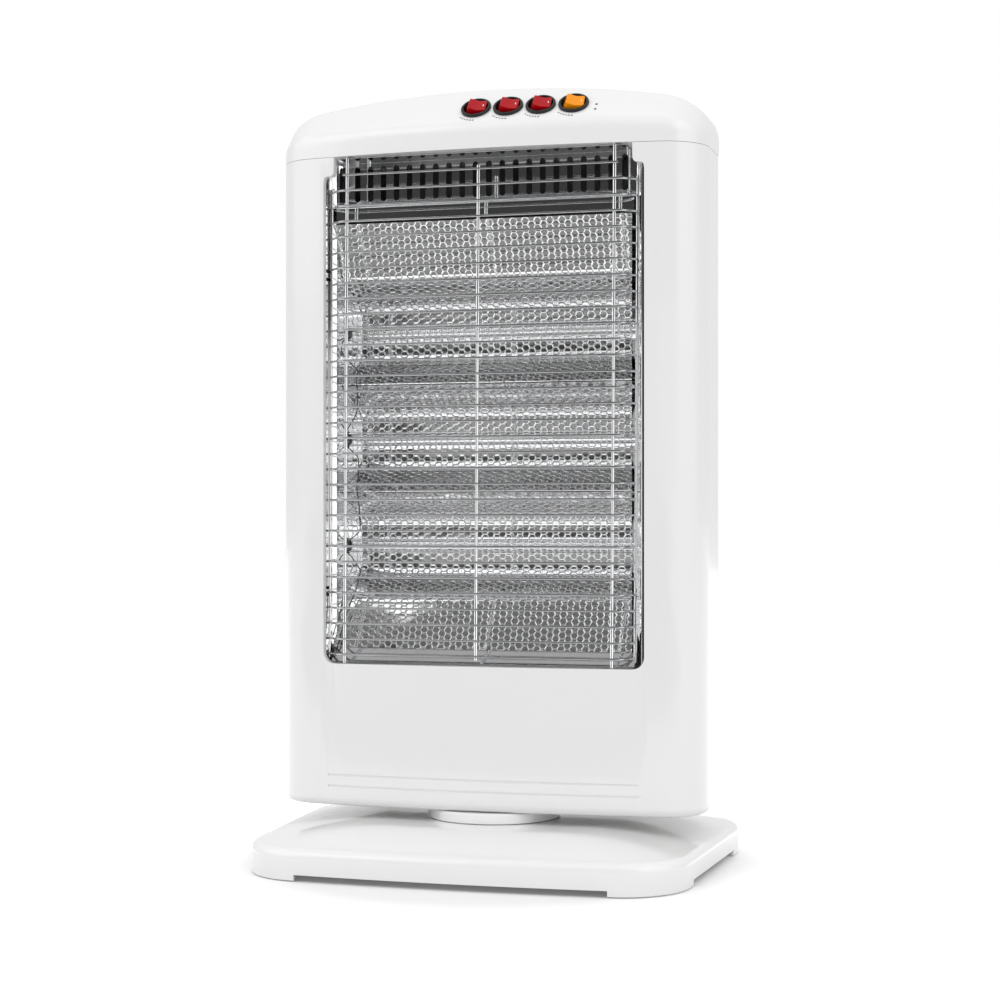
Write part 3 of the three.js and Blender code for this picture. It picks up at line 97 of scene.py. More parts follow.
class Graph:
    """A node tree with short calls for adding and joining nodes."""

    def __init__(self, tree: bpy.types.NodeTree) -> None:
        """Starts from an empty tree."""
        self.tree = tree
        self.tree.nodes.clear()

    def node(self, kind: str, **settings: object) -> Node:
        """Adds a node.

        Args:
            kind: The node's type name.
            settings: Properties of the node.

        Returns:
            The new node.
        """
        made = self.tree.nodes.new(kind)
        for name, value in settings.items():
            setattr(made, name, value)
        return made

    def join(self, source: Socket, target: Socket) -> None:
        """Links one socket to another."""
        self.tree.links.new(source, target)

    def feed(self, target: Socket, value: object) -> None:
        """Links a socket, or sets its number.

        Args:
            target: The input.
            value: The socket or number that it gets.
        """
        if isinstance(value, Socket):
            self.join(value, target)
        else:
            target.default_value = value

    def math(self, operation: str, *values: object) -> Socket:
        """Adds a math node.

        Args:
            operation: The name of the operation.
            values: Sockets or numbers for its inputs.

        Returns:
            The result's socket.
        """
        made = self.node("ShaderNodeMath", operation=operation)
        for target, value in zip(made.inputs, values):
            self.feed(target, value)
        return made.outputs[0]

    def spread(self, value: Socket, limits: Sequence[object]) -> Socket:
        """Brings a value from one range to another.

        Args:
            value: The value's socket.
            limits: Lowest and highest value in, and lowest and highest value out.

        Returns:
            The result's socket.
        """
        made = self.node("ShaderNodeMapRange")
        self.join(value, made.inputs["Value"])
        for name, limit in zip(("From Min", "From Max", "To Min", "To Max"), limits):
            self.feed(made.inputs[name], limit)
        return made.outputs["Result"]

    def noise(self, vector: Socket, scale: object, detail: float) -> Socket:
        """Adds a noise texture.

        Args:
            vector: Where it is read.
            scale: How fine it is, a number or a socket.
            detail: The number of finer layers.

        Returns:
            The value's socket.
        """
        made = self.node("ShaderNodeTexNoise")
        self.join(vector, made.inputs["Vector"])
        self.feed(made.inputs["Scale"], scale)
        made.inputs["Detail"].default_value = detail
        return made.outputs["Fac"]

    def group(self, effect: "Effect", **inputs: object) -> Node:
        """Places a shared effect.

        Args:
            effect: The effect whose group is placed.
            inputs: Its input values, or the sockets that feed them.

        Returns:
            The group node.
        """
        made = self.node("ShaderNodeGroup", node_tree=effect.tree())
        for name, value in inputs.items():
            self.feed(made.inputs[name.replace("_", " ")], value)
        return made


def started(owner: bpy.types.Material | bpy.types.World, end: str) -> tuple[Graph, Node]:
    """Starts the graph of a material or world and returns it with its output node."""
    owner.use_nodes = True
    graph = Graph(owner.node_tree)
    return graph, graph.node(end)


@dataclass(frozen=True)
class Effect:
    """A shader node group that several finishes share.

    Attributes:
        name: The group's name.
        inputs: Names of its inputs; those called Vector or Stretch are vectors.
        outputs: Names of its outputs, all of them values.
        draw: Draws the nodes between the group's inputs and outputs.
    """

    name: str
    inputs: tuple[str, ...]
    outputs: tuple[str, ...]
    draw: Callable[[Graph, Sockets, Sockets], None]

    def tree(self) -> bpy.types.NodeTree:
        """Builds the group once.

        Returns:
            The group's node tree.
        """
        found = bpy.data.node_groups.get(self.name)
        if found:
            return found
        tree = bpy.data.node_groups.new(self.name, "ShaderNodeTree")
        for names, end in ((self.inputs, "INPUT"), (self.outputs, "OUTPUT")):
            for name in names:
                kind = "Vector" if name in ("Vector", "Stretch") else "Float"
                tree.interface.new_socket(name=name, in_out=end, socket_type=f"NodeSocket{kind}")
        graph = Graph(tree)
        start = graph.node("NodeGroupInput")
        end = graph.node("NodeGroupOutput")
        self.draw(graph, start.outputs, end.inputs)
        return tree


def draw_drift(graph: Graph, given: Sockets, result: Sockets) -> None:
    """Soft uneven patches: handling marks and flow in a surface."""
    finer, broad_share, fine_share = 7.0, 0.7, 0.3
    least, most = 0.3, 0.7
    broad = graph.noise(given["Vector"], given["Scale"], 3.0)
    fine_scale = graph.math("MULTIPLY", given["Scale"], finer)
    fine = graph.noise(given["Vector"], fine_scale, 2.0)
    broad, fine = (
        graph.math("MULTIPLY", broad, broad_share),
        graph.math("MULTIPLY", fine, fine_share),
    )
    mixed = graph.math("ADD", broad, fine)
    graph.join(graph.spread(mixed, (least, most, given["Low"], given["High"])), result["Value"])


def draw_grain(graph: Graph, given: Sockets, result: Sockets) -> None:
    """The faint ripple and pores of a moulded or fired surface."""
    ripple = graph.noise(given["Vector"], given["Ripple"], 2.0)
    pores = graph.noise(given["Vector"], given["Pores"], 4.0)
    height = graph.math("ADD", ripple, graph.math("MULTIPLY", pores, given["Pore Share"]))
    graph.join(height, result["Height"])


def draw_brushing(graph: Graph, given: Sockets, result: Sockets) -> None:
    """Fine drawn lines along one axis of rolled or drawn metal."""
    stretch = graph.node("ShaderNodeMapping")
    graph.join(given["Vector"], stretch.inputs["Vector"])
    graph.join(given["Stretch"], stretch.inputs["Scale"])
    graph.join(graph.noise(stretch.outputs["Vector"], 1.0, 4.0), result["Height"])


def cell_place(graph: Graph, place: Socket, offset: float) -> Socket:
    """Distance along one axis from the middle of the nearest cell, in pitches."""
    within = graph.math("FRACT", graph.math("ADD", place, offset))
    return graph.math("ABSOLUTE", graph.math("SUBTRACT", within, 0.5))


def draw_cells(graph: Graph, given: Sockets, result: Sockets) -> None:
    """Rolled six-sided cells with raised rims between them, drawn on a map in millimetres."""
    stagger, rim_low, rim_high = 0.5, 0.3, 0.8
    split = graph.node("ShaderNodeSeparateXYZ")
    graph.join(given["Vector"], split.inputs["Vector"])
    wobble = graph.noise(given["Vector"], given["Wobble Scale"], 1.0)
    shift = graph.math("MULTIPLY", graph.math("SUBTRACT", wobble, 0.5), given["Wobble"])
    places = []
    for axis, share in (("X", math.sqrt(3.0)), ("Y", 1.0)):
        strayed = graph.math("ADD", split.outputs[axis], shift)
        pitch = graph.math("MULTIPLY", given["Pitch"], share)
        places.append(graph.math("DIVIDE", strayed, pitch))
    rows = []
    for offset in (0.0, stagger):
        across, up = (cell_place(graph, place, offset) for place in places)
        squeezed = graph.math("MULTIPLY", graph.math("MULTIPLY", across, across), 3.0)
        rows.append((up, graph.math("ADD", squeezed, graph.math("MULTIPLY", up, up))))
    (first, first_away), (second, second_away) = rows
    between = graph.math("ABSOLUTE", graph.math("SUBTRACT", first_away, second_away))
    inside_first = graph.math("LESS_THAN", first_away, second_away)
    lead = graph.math("MULTIPLY", inside_first, graph.math("SUBTRACT", first, second))
    above = graph.math("SUBTRACT", 0.5, graph.math("ADD", second, lead))
    rim = graph.math("MINIMUM", graph.math("MULTIPLY", between, 0.5), above)
    height = graph.spread(rim, (0.0, given["Rim Width"], 1.0, 0.0))
    graph.join(height, result["Height"])
    graph.join(graph.spread(height, (rim_low, rim_high, 0.0, 1.0)), result["Rim"])


DRIFT = Effect("surface_drift", ("Vector", "Scale", "Low", "High"), ("Value",), draw_drift)
GRAIN = Effect(
    "moulded_grain", ("Vector", "Ripple", "Pores", "Pore Share"), ("Height",), draw_grain
)
BRUSHING = Effect("drawn_lines", ("Vector", "Stretch"), ("Height",), draw_brushing)
CELLS = Effect(
    "embossed_cells",
    ("Vector", "Pitch", "Rim Width", "Wobble", "Wobble Scale"),
    ("Height", "Rim"),
    draw_cells,
)


# ---- Finishes


@dataclass(frozen=True)
class Finish:
    """What one material looks like.

    Attributes:
        name: The material's name.
        colour: Base colour, linear.
        smooth: Lowest roughness of the surface.
        rough: Highest roughness of the surface.
        drift_scale: How fine the patches of roughness are, per metre.
    """

    name: str
    colour: Colour
    smooth: float
    rough: float
    drift_scale: float = 18.0

    def material(self) -> bpy.types.Material:
        """Builds the material once.

        Returns:
            The material.
        """
        title = f"{self.name}_finish"
        found = bpy.data.materials.get(title)
        if found:
            return found
        made = bpy.data.materials.new(title)
        graph, output = started(made, "ShaderNodeOutputMaterial")
        shader = graph.node("ShaderNodeBsdfPrincipled")
        place = graph.node("ShaderNodeTexCoord")
        graph.join(shader.outputs["BSDF"], output.inputs["Surface"])
        shader.inputs["Base Color"].default_value = (*self.colour, 1.0)
        drift = self.patches(graph, place, self.drift_scale, (self.smooth, self.rough))
        graph.join(drift, shader.inputs["Roughness"])
        self.dress(graph, shader, place)
        return made

    def dress(self, graph: Graph, shader: Node, place: Node) -> None:
        """Adds what is particular to the finish.

        Args:
            graph: The material's graph.
            shader: The surface shader.
            place: The texture coordinates.
        """

    def patches(self, graph: Graph, place: Node, scale: float, limits: Point) -> Socket:
        """Adds soft uneven patches between two limits and returns their value."""
        given = {"Vector": place.outputs["Object"], "Low": limits[0], "High": limits[1]}
        return graph.group(DRIFT, Scale=scale, **given).outputs["Value"]

    def relief(self, graph: Graph, shader: Node, height: Socket, depth: float) -> None:
        """Turns a height into a bump on the surface.

        Args:
            graph: The material's graph.
            shader: The surface shader.
            height: The height's socket.
            depth: The height of one unit, in metres.
        """
        bump = graph.node("ShaderNodeBump")
        bump.inputs["Distance"].default_value = depth
        graph.join(height, bump.inputs["Height"])
        graph.join(bump.outputs["Normal"], shader.inputs["Normal"])

    def mottle(self, graph: Graph, shader: Node, value: Socket, other: Colour) -> None:
        """Mixes the base colour with another by a value.

        Args:
            graph: The material's graph.
            shader: The surface shader.
            value: How much of the other colour shows.
            other: The other colour, linear.
        """
        mix = graph.node("ShaderNodeMix", data_type="RGBA")
        graph.join(value, mix.inputs[0])
        mix.inputs[6].default_value = (*self.colour, 1.0)
        mix.inputs[7].default_value = (*other, 1.0)
        graph.join(mix.outputs[2], shader.inputs["Base Color"])


@dataclass(frozen=True)
class Moulding(Finish):
    """Moulded plastic, glossy or satin.

    Attributes:
        coat: Weight of the gloss layer.
        shade: Colour in the deeper patches of the moulding.
        ripple: How fine the ripple of the gloss is, per metre.
        pores: How fine the pores are, per metre.
        pore_share: Height of the pores against the ripple.
        depth: Height of the relief in metres.
        glow: How much light passes inside the plastic.
        glow_reach: How far each colour of that light goes, against glow_depth.
        glow_depth: How far it goes in metres.
        shine: Strength of the surface's own mirroring, 0.5 being plain plastic.
        coat_roughness: Roughness of the gloss layer.
        refraction: Index of refraction of the plastic.
        tone_scale: How fine the patches of tone are, against those of roughness.
        tone_most: How much of the shade shows at most.
    """

    coat: float = 0.0
    shade: Colour = (0.8, 0.8, 0.8)
    ripple: float = 90.0
    pores: float = 900.0
    pore_share: float = 0.12
    depth: float = 0.00012
    glow: float = 0.0
    glow_reach: Triple = (1.0, 0.25, 0.12)
    glow_depth: float = 0.004
    shine: float = 0.5
    coat_roughness: float = 0.07
    refraction: float = 1.49
    tone_scale: float = 0.6
    tone_most: float = 0.6

    def dress(self, graph: Graph, shader: Node, place: Node) -> None:
        """Adds the gloss layer, the grain and a slight change of tone."""
        settings = {
            "Coat Weight": self.coat,
            "Coat Roughness": self.coat_roughness,
            "IOR": self.refraction,
            "Specular IOR Level": self.shine,
        }
        if self.glow:
            settings["Subsurface Weight"] = self.glow
            settings["Subsurface Radius"] = self.glow_reach
            settings["Subsurface Scale"] = self.glow_depth
        for name, value in settings.items():
            shader.inputs[name].default_value = value
        scale = self.drift_scale * self.tone_scale
        tone = self.patches(graph, place, scale, (0.0, self.tone_most))
        self.mottle(graph, shader, tone, self.shade)
        grain = graph.group(
            GRAIN,
            Vector=place.outputs["Object"],
            Ripple=self.ripple,
            Pores=self.pores,
            Pore_Share=self.pore_share,
        )
        self.relief(graph, shader, grain.outputs["Height"], self.depth)


@dataclass(frozen=True)
class SheetMetal(Finish):
    """Rolled, drawn or plated metal.

    Attributes:
        stretch: How fine the drawn lines are along each axis, per metre.
        depth: Height of the drawn lines in metres.
        shade: Colour in the duller patches.
        tone_scale: How fine those patches are, against those of roughness.
        tone_most: How much of the shade shows at most.
    """

    stretch: Triple = (30.0, 700.0, 700.0)
    depth: float = 0.00002
    shade: Colour = (0.6, 0.6, 0.61)
    tone_scale: float = 2.0
    tone_most: float = 0.5

    def dress(self, graph: Graph, shader: Node, place: Node) -> None:
        """Adds the metal, its drawn lines and duller patches."""
        shader.inputs["Metallic"].default_value = 1.0
        scale = self.drift_scale * self.tone_scale
        tone = self.patches(graph, place, scale, (0.0, self.tone_most))
        self.mottle(graph, shader, tone, self.shade)
        lines = graph.group(BRUSHING, Vector=place.outputs["Object"], Stretch=self.stretch)
        self.relief(graph, shader, lines.outputs["Height"], self.depth)


@dataclass(frozen=True)
class EmbossedMetal(Finish):
    """Bright sheet rolled with small cells, mapped in millimetres.

    Attributes:
        pitch: Distance between the cells of one column, up the sheet.
        rim_width: Half the width of a raised rim, as a share of the pitch.
        depth: Height of the raised rims in metres.
        waves: Height of the sheet's slow waves against the rims.
        wave_scale: How fine those waves are, per metre.
        dents: How fine the small dents are, per metre.
        dent_share: Height of the dents against the waves.
        wobble: How far the cells stray from their rows, in millimetres.
        wobble_scale: How fast they stray, per millimetre.
        rim_shade_colour: Painted shade: the darker colour of the raised rims, linear.
        rim_roughness: Roughness of the raised rims.
    """

    pitch: float = 5.45
    rim_width: float = 0.11
    depth: float = 0.00024
    waves: float = 1.8
    wave_scale: float = 30.0
    dents: float = 300.0
    dent_share: float = 0.012
    wobble: float = 0.9
    wobble_scale: float = 0.05
    rim_shade_colour: Colour = (0.66, 0.66, 0.66)
    rim_roughness: float = 0.24

    def dress(self, graph: Graph, shader: Node, place: Node) -> None:
        """Adds the metal and its raised rims, their colour darkened as painted shade."""
        shader.inputs["Metallic"].default_value = 1.0
        cells = graph.group(
            CELLS,
            Vector=place.outputs["UV"],
            Pitch=self.pitch,
            Rim_Width=self.rim_width,
            Wobble=self.wobble,
            Wobble_Scale=self.wobble_scale,
        )
        rolled = graph.group(
            GRAIN,
            Vector=place.outputs["Object"],
            Ripple=self.wave_scale,
            Pores=self.dents,
            Pore_Share=self.dent_share,
        )
        waves = graph.math("MULTIPLY", rolled.outputs["Height"], self.waves)
        height = graph.math("ADD", cells.outputs["Height"], waves)
        self.relief(graph, shader, height, self.depth)
        # Painted shade: the rims are coloured darker than the cells.
        self.mottle(graph, shader, cells.outputs["Rim"], self.rim_shade_colour)
        drift = shader.inputs["Roughness"].links[0].from_socket
        rim_rough = graph.math("MULTIPLY", cells.outputs["Rim"], self.rim_roughness)
        graph.join(graph.math("MAXIMUM", drift, rim_rough), shader.inputs["Roughness"])


@dataclass(frozen=True)
class ClearGlass(Finish):
    """Clear fused quartz.

    Attributes:
        refraction: Index of refraction.
        stretch: How fine the draw lines are along each axis, per metre.
        depth: Height of the draw lines in metres.
    """

    refraction: float = 1.45
    stretch: Triple = (4.0, 300.0, 300.0)
    depth: float = 0.00001

    def dress(self, graph: Graph, shader: Node, place: Node) -> None:
        """Makes the surface clear, with faint draw lines."""
        shader.inputs["Transmission Weight"].default_value = 1.0
        shader.inputs["IOR"].default_value = self.refraction
        lines = graph.group(BRUSHING, Vector=place.outputs["Object"], Stretch=self.stretch)
        self.relief(graph, shader, lines.outputs["Height"], self.depth)


@dataclass(frozen=True)
class Sleeve(Finish):
    """Woven heat-proof sleeve of a wire.

    Attributes:
        weave: How fine the weave is, per metre.
        depth: Height of the weave in metres.
        lift: How much lighter the raised threads are, as a painted highlight.
    """

    weave: float = 2200.0
    depth: float = 0.00012
    lift: float = 2.2

    def dress(self, graph: Graph, shader: Node, place: Node) -> None:
        """Adds the weave's small bumps, and a painted highlight that lightens the raised threads.
        """
        weave = graph.node("ShaderNodeTexVoronoi")
        graph.join(place.outputs["Object"], weave.inputs["Vector"])
        weave.inputs["Scale"].default_value = self.weave
        highlit = tuple(self.lift * c for c in self.colour)
        self.mottle(graph, shader, weave.outputs["Distance"], highlit)
        self.relief(graph, shader, weave.outputs["Distance"], self.depth)


GLOSS_WHITE = Moulding(
    "gloss_white_moulding",
    (0.83, 0.83, 0.828),
    0.24,
    0.27,
    drift_scale=6.0,
    coat=0.45,
    shade=(0.826, 0.826, 0.823),
    ripple=7.0,
    pores=40.0,
    pore_share=0.0,
    depth=0.00004,
)
# Painted light: a lighter copy of the gloss white for the stand and collar, standing in for the
# light that falls on the stand's top.
LIT_STAND_WHITE = replace(
    GLOSS_WHITE, name="gloss_white_stand_painted_light", colour=(0.875, 0.875, 0.873), shade=(0.87, 0.87, 0.868)
)
SATIN_WHITE = Moulding(
    "satin_white_moulding", (0.8, 0.8, 0.79), 0.42, 0.52, shade=(0.76, 0.76, 0.75), depth=0.00003
)
BLACK_PLASTIC = Moulding(
    "black_moulding",
    (0.014, 0.015, 0.015),
    0.34,
    0.46,
    shade=(0.02, 0.021, 0.021),
    shine=0.3,
    ripple=300.0,
    pores=2200.0,
    pore_share=0.5,
)
ROCKER_RED = Moulding(
    "rocker_red", (0.44, 0.003, 0.008), 0.1, 0.16, shade=(0.36, 0.002, 0.006), shine=0.2
)
ROCKER_AMBER = Moulding(
    "rocker_amber", (0.92, 0.31, 0.006), 0.1, 0.16, shade=(0.88, 0.28, 0.005), shine=0.2
)
PRINT_WHITE = Moulding("printed_white", (0.85, 0.85, 0.85), 0.3, 0.4, shade=(0.8, 0.8, 0.8))
PRINT_BLACK = Moulding("printed_black", (0.02, 0.02, 0.02), 0.4, 0.5, shade=(0.03, 0.03, 0.03))
NYLON = Moulding(
    "natural_nylon", (0.78, 0.75, 0.66), 0.4, 0.55, shade=(0.72, 0.69, 0.6), glow=0.1
)
CERAMIC = Moulding(
    "unglazed_ceramic",
    (0.8, 0.77, 0.7),
    0.6,
    0.8,
    shade=(0.72, 0.69, 0.62),
    pores=1500.0,
    pore_share=0.8,
)
RUBBER = Moulding(
    "black_rubber",
    (0.02, 0.02, 0.021),
    0.65,
    0.85,
    shade=(0.035, 0.035, 0.036),
    pores=2500.0,
    pore_share=0.7,
)
BRIGHT_SHEET = SheetMetal(
    "bright_aluminium", (0.9, 0.905, 0.91), 0.05, 0.09, depth=0.000003, shade=(0.8, 0.8, 0.81)
)
# Painted shade: a darker copy of the bright sheet for the tray, low under the reflectors.
SHADED_TRAY_SHEET = replace(
    BRIGHT_SHEET,
    name="tray_aluminium_painted_shade",
    colour=(0.58, 0.58, 0.585),
    shade=(0.44, 0.44, 0.445),
)
EMBOSSED_SHEET = EmbossedMetal("embossed_aluminium", (0.8, 0.805, 0.81), 0.05, 0.09)
CHROME = SheetMetal(
    "bright_plated_post", (0.85, 0.855, 0.86), 0.06, 0.1, depth=0.000002, shade=(0.76, 0.76, 0.77)
)
# Painted shade: a darker copy of the guard's chrome for the level wires, standing in for the dark
# reflection they show.
SHADED_GUARD_WIRE = SheetMetal(
    "guard_wire_painted_shade", (0.43, 0.435, 0.44), 0.06, 0.1, depth=0.000002, shade=(0.36, 0.36, 0.37)
)
ZINC = SheetMetal("zinc_plated_steel", (0.62, 0.63, 0.65), 0.25, 0.42, shade=(0.48, 0.49, 0.52))
# Painted shade: dark sheet for the hidden tops of the side panels and for the heat shield, inside
# the case's shadow.
SHADED_SHEET = SheetMetal("sheet_painted_shade", (0.16, 0.16, 0.165), 0.5, 0.7, shade=(0.1, 0.1, 0.105))
HEATING_WIRE = SheetMetal(
    "resistance_wire", (0.42, 0.4, 0.37), 0.35, 0.5, shade=(0.3, 0.28, 0.26)
)
# Painted shade: the base plate is darkened to stand for the shadow in the open slot under the
# stand.
SHADED_PLATE_GREY = Moulding("plate_grey_painted_shade", (0.26, 0.26, 0.262), 0.4, 0.5, shade=(0.22, 0.22, 0.222))
QUARTZ = ClearGlass("clear_quartz", (0.98, 0.985, 0.99), 0.0, 0.02)
LEAD_SLEEVE = Sleeve("woven_sleeve", (0.025, 0.025, 0.027), 0.6, 0.8)


# ---- Drawing shapes


class Loft:
    """A skin drawn ring by ring, each ring pulled out of the one before."""

    def __init__(self, points: Sequence[Vector], mesh: BMesh | None = None) -> None:
        """Draws the first ring.

        Args:
            points: The ring's corners in order.
            mesh: The mesh to draw in, or none for a new one.
        """
        self.mesh = mesh or bmesh.new()
        made = bmesh.ops.create_circle(self.mesh, cap_ends=False, segments=len(points), radius=1.0)
        self.ring: list[BMVert] = list(made["verts"])
        self.first = list(self.ring)
        for corner, point in zip(self.ring, points):
            corner.co = point

    def edges(self, ring: Sequence[BMVert]) -> list[BMEdge]:
        """Returns the edges round a ring."""
        follow = [*ring[1:], ring[0]]
        return [self.mesh.edges.get((a, b)) for a, b in zip(ring, follow)]

    def pull(self, points: Sequence[Vector]) -> "Loft":
        """Pulls the last ring out to new places.

        Args:
            points: The new ring's corners, one for each corner of the last.

        Returns:
            The loft itself.
        """
        made = bmesh.ops.extrude_edge_only(self.mesh, edges=self.edges(self.ring))
        fresh = {part for part in made["geom"] if isinstance(part, BMVert)}
        ring = []
        for corner, point in zip(self.ring, points):
            ends = (edge.other_vert(corner) for edge in corner.link_edges)
            twin = next(end for end in ends if end in fresh)
            twin.co = point
            ring.append(twin)
        self.ring = ring
        return self

    def fill(self, ring: Sequence[BMVert]) -> None:
        """Closes one ring with a face."""
        bmesh.ops.contextual_create(self.mesh, geom=[*ring, *self.edges(ring)])

    def closed(self) -> BMesh:
        """Closes both ends.

        Returns:
            The mesh, its faces outward.
        """
        self.fill(self.first)
        self.fill(self.ring)
        return outward(self.mesh)


def drawn_through(rings: Sequence[Sequence[Vector]]) -> Loft:
    """Draws an open skin through rings of points."""
    loft = Loft(rings[0])
    for ring in rings[1:]:
        loft.pull(ring)
    return loft


def outward(mesh: BMesh) -> BMesh:
    """Turns the faces of a shape outward and returns it."""
    bmesh.ops.recalc_face_normals(mesh, faces=mesh.faces)
    return mesh


def moved(mesh: BMesh, matrix: Matrix) -> BMesh:
    """Moves a whole shape by a matrix and returns it."""
    bmesh.ops.transform(mesh, matrix=matrix, verts=mesh.verts)
    return outward(mesh)


def shifted(mesh: BMesh, x: float, y: float, z: float) -> BMesh:
    """Moves a whole shape along the axes and returns it."""
    return moved(mesh, Matrix.Translation((x, y, z)))


def everything(mesh: BMesh) -> list[BMVert | BMEdge | BMFace]:
    """All the corners, edges and faces of a shape."""
    return [*mesh.verts, *mesh.edges, *mesh.faces]


def mirrored(points: Sequence[Vector]) -> list[Vector]:
    """Adds its left half to the right half of an outline, from the front middle to the rear."""
    left = [Vector((-p.x, p.y, p.z)) for p in reversed(points[1:-1])]
    return [*points, *left]


def arc_points(
    centre: Point, radius: float, start: float, end: float, strips: int
) -> list[Point]:
    """Places points on an arc between two angles in degrees, both ends among them."""
    turns = [math.radians(start + (end - start) * i / strips) for i in range(strips + 1)]
    return [(centre[0] + radius * math.cos(t), centre[1] + radius * math.sin(t)) for t in turns]


def bezier_points(corners: Sequence[Point], strips: int) -> list[Point]:
    """Places points on a curve, its start left out.

    Args:
        corners: Its three or four control points.
        strips: The number of its chords.

    Returns:
        The points.
    """
    degree = len(corners) - 1
    points = []
    for step in range(1, strips + 1):
        t = step / strips
        weights = [
            math.comb(degree, k) * t**k * (1 - t) ** (degree - k) for k in range(degree + 1)
        ]
        points.append(tuple(sum(w * c[axis] for w, c in zip(weights, corners)) for axis in (0, 1)))
    return points


class Plane(Enum):
    """The plane that a flat outline is drawn in, and so the axis that it's pulled along."""

    XY = ((1, 0, 0), (0, 1, 0), (0, 0, 1))
    XZ = ((1, 0, 0), (0, 0, 1), (0, 1, 0))
    YZ = ((0, 1, 0), (0, 0, 1), (1, 0, 0))

    def at(self, point: Point, level: float) -> Vector:
        """Brings a point of the outline into space."""
        across, up, out = (Vector(axis) for axis in self.value)
        return across * point[0] + up * point[1] + out * level


def prism(outline: Sequence[Point], plane: Plane, low: float, high: float) -> BMesh:
    """Pulls a flat outline into a closed solid between two levels of the plane's axis."""
    loft = Loft([plane.at(p, low) for p in outline])
    return loft.pull([plane.at(p, high) for p in outline]).closed()


def block(low: Sequence[float], high: Sequence[float]) -> BMesh:
    """Makes a box.

    Args:
        low: Its corner with the lowest coordinates.
        high: Its corner with the highest.

    Returns:
        The closed box.
    """
    mesh = bmesh.new()
    bmesh.ops.create_cube(mesh, size=1.0)
    size = Matrix.Diagonal((*(b - a for a, b in zip(low, high)), 1.0))
    middle = Matrix.Translation([(a + b) / 2 for a, b in zip(low, high)])
    return moved(mesh, middle @ size)


def rod(radius: float, plane: Plane, low: float, high: float, sides: int = 48) -> BMesh:
    """Makes a round solid about the plane's axis."""
    round_outline = arc_points((0.0, 0.0), radius, 0.0, 360.0, sides)[:-1]
    return prism(round_outline, plane, low, high)


def draw_line(mesh: BMesh, points: Sequence[Vector]) -> list[BMVert]:
    """Draws an open line, corner after corner.

    Args:
        mesh: The mesh to draw in.
        points: The line's corners.

    Returns:
        Its vertices in order.
    """
    chain = [bmesh.ops.create_vert(mesh, co=points[0])["vert"][0]]
    for point in points[1:]:
        corner = bmesh.ops.extrude_vert_indiv(mesh, verts=[chain[-1]])["verts"][0]
        corner.co = point
        chain.append(corner)
    return chain


def turned(profile: Sequence[Point], sides: int = 96) -> BMesh:
    """Spins a closed profile of radius and height about Z.

    Args:
        profile: The profile's corners.
        sides: The number of strips round the axis.

    Returns:
        The closed solid.
    """
    mesh = bmesh.new()
    chain = draw_line(mesh, [Vector((r, 0.0, z)) for r, z in profile])
    if min(r for r, _ in profile) > 0:
        bmesh.ops.contextual_create(mesh, geom=[chain[0], chain[-1]])
    bmesh.ops.spin(
        mesh,
        geom=[*mesh.verts, *mesh.edges],
        cent=(0, 0, 0),
        axis=(0, 0, 1),
        dvec=(0, 0, 0),
        angle=2 * math.pi,
        steps=sides,
        use_merge=True,
    )
    bmesh.ops.remove_doubles(mesh, verts=mesh.verts, dist=WELD)
    return outward(mesh)


def round_off(mesh: BMesh, edges: list[BMEdge], offset: float, **settings: object) -> None:
    """Rounds the given edges of a shape to a width on each side."""
    bmesh.ops.bevel(
        mesh,
        geom=edges,
        offset=offset,
        offset_type="OFFSET",
        profile=0.5,
        affect="EDGES",
        material=-1,
        **settings,
    )


def folded_sheet(
    line: Sequence[Point],
    plane: Plane,
    span: Point,
    bends: dict[int, float],
    faces_to: Vector,
    thickness: float,
) -> BMesh:
    """Folds a strip of sheet metal, mapped in millimetres across and along it.

    Args:
        line: The folded edge's corners.
        plane: The plane that the line is drawn in.
        span: Where the strip starts and ends on the plane's axis.
        bends: Bend radius at each rounded corner, by its place in the line.
        faces_to: A direction that the drawn side looks to.
        thickness: The sheet's thickness, put on the far side.

    Returns:
        The closed sheet, with its map.
    """
    mesh = bmesh.new()
    run = mesh.verts.layers.float.new("run")
    chain = draw_line(mesh, [plane.at(p, span[0]) for p in line])
    length = 0.0
    for i, corner in enumerate(chain):
        length += (corner.co - chain[i - 1].co).length if i else 0.0
        corner[run] = length
    made = bmesh.ops.extrude_edge_only(mesh, edges=list(mesh.edges))
    far = [part for part in made["geom"] if isinstance(part, BMVert)]
    bmesh.ops.translate(mesh, verts=far, vec=plane.at((0, 0), span[1] - span[0]))
    mesh.normal_update()
    for i, radius in bends.items():
        fold = [e for e in chain[i].link_edges if len(e.link_faces) == 2]
        round_off(mesh, fold, radius, segments=FOLD_STRIPS)
    bmesh.ops.recalc_face_normals(mesh, faces=mesh.faces)
    mesh.normal_update()
    facing = sum((f.normal * f.calc_area() for f in mesh.faces), Vector())
    if facing.dot(faces_to) < 0:
        bmesh.ops.reverse_faces(mesh, faces=mesh.faces)
    axis = plane.at((0, 0), 1.0)
    chart = mesh.loops.layers.uv.new(UV_MAP)
    for face in mesh.faces:
        for loop in face.loops:
            loop[chart].uv = (loop.vert.co.dot(axis), loop.vert[run])
    bmesh.ops.solidify(mesh, geom=list(mesh.faces), thickness=thickness)
    return outward(mesh)


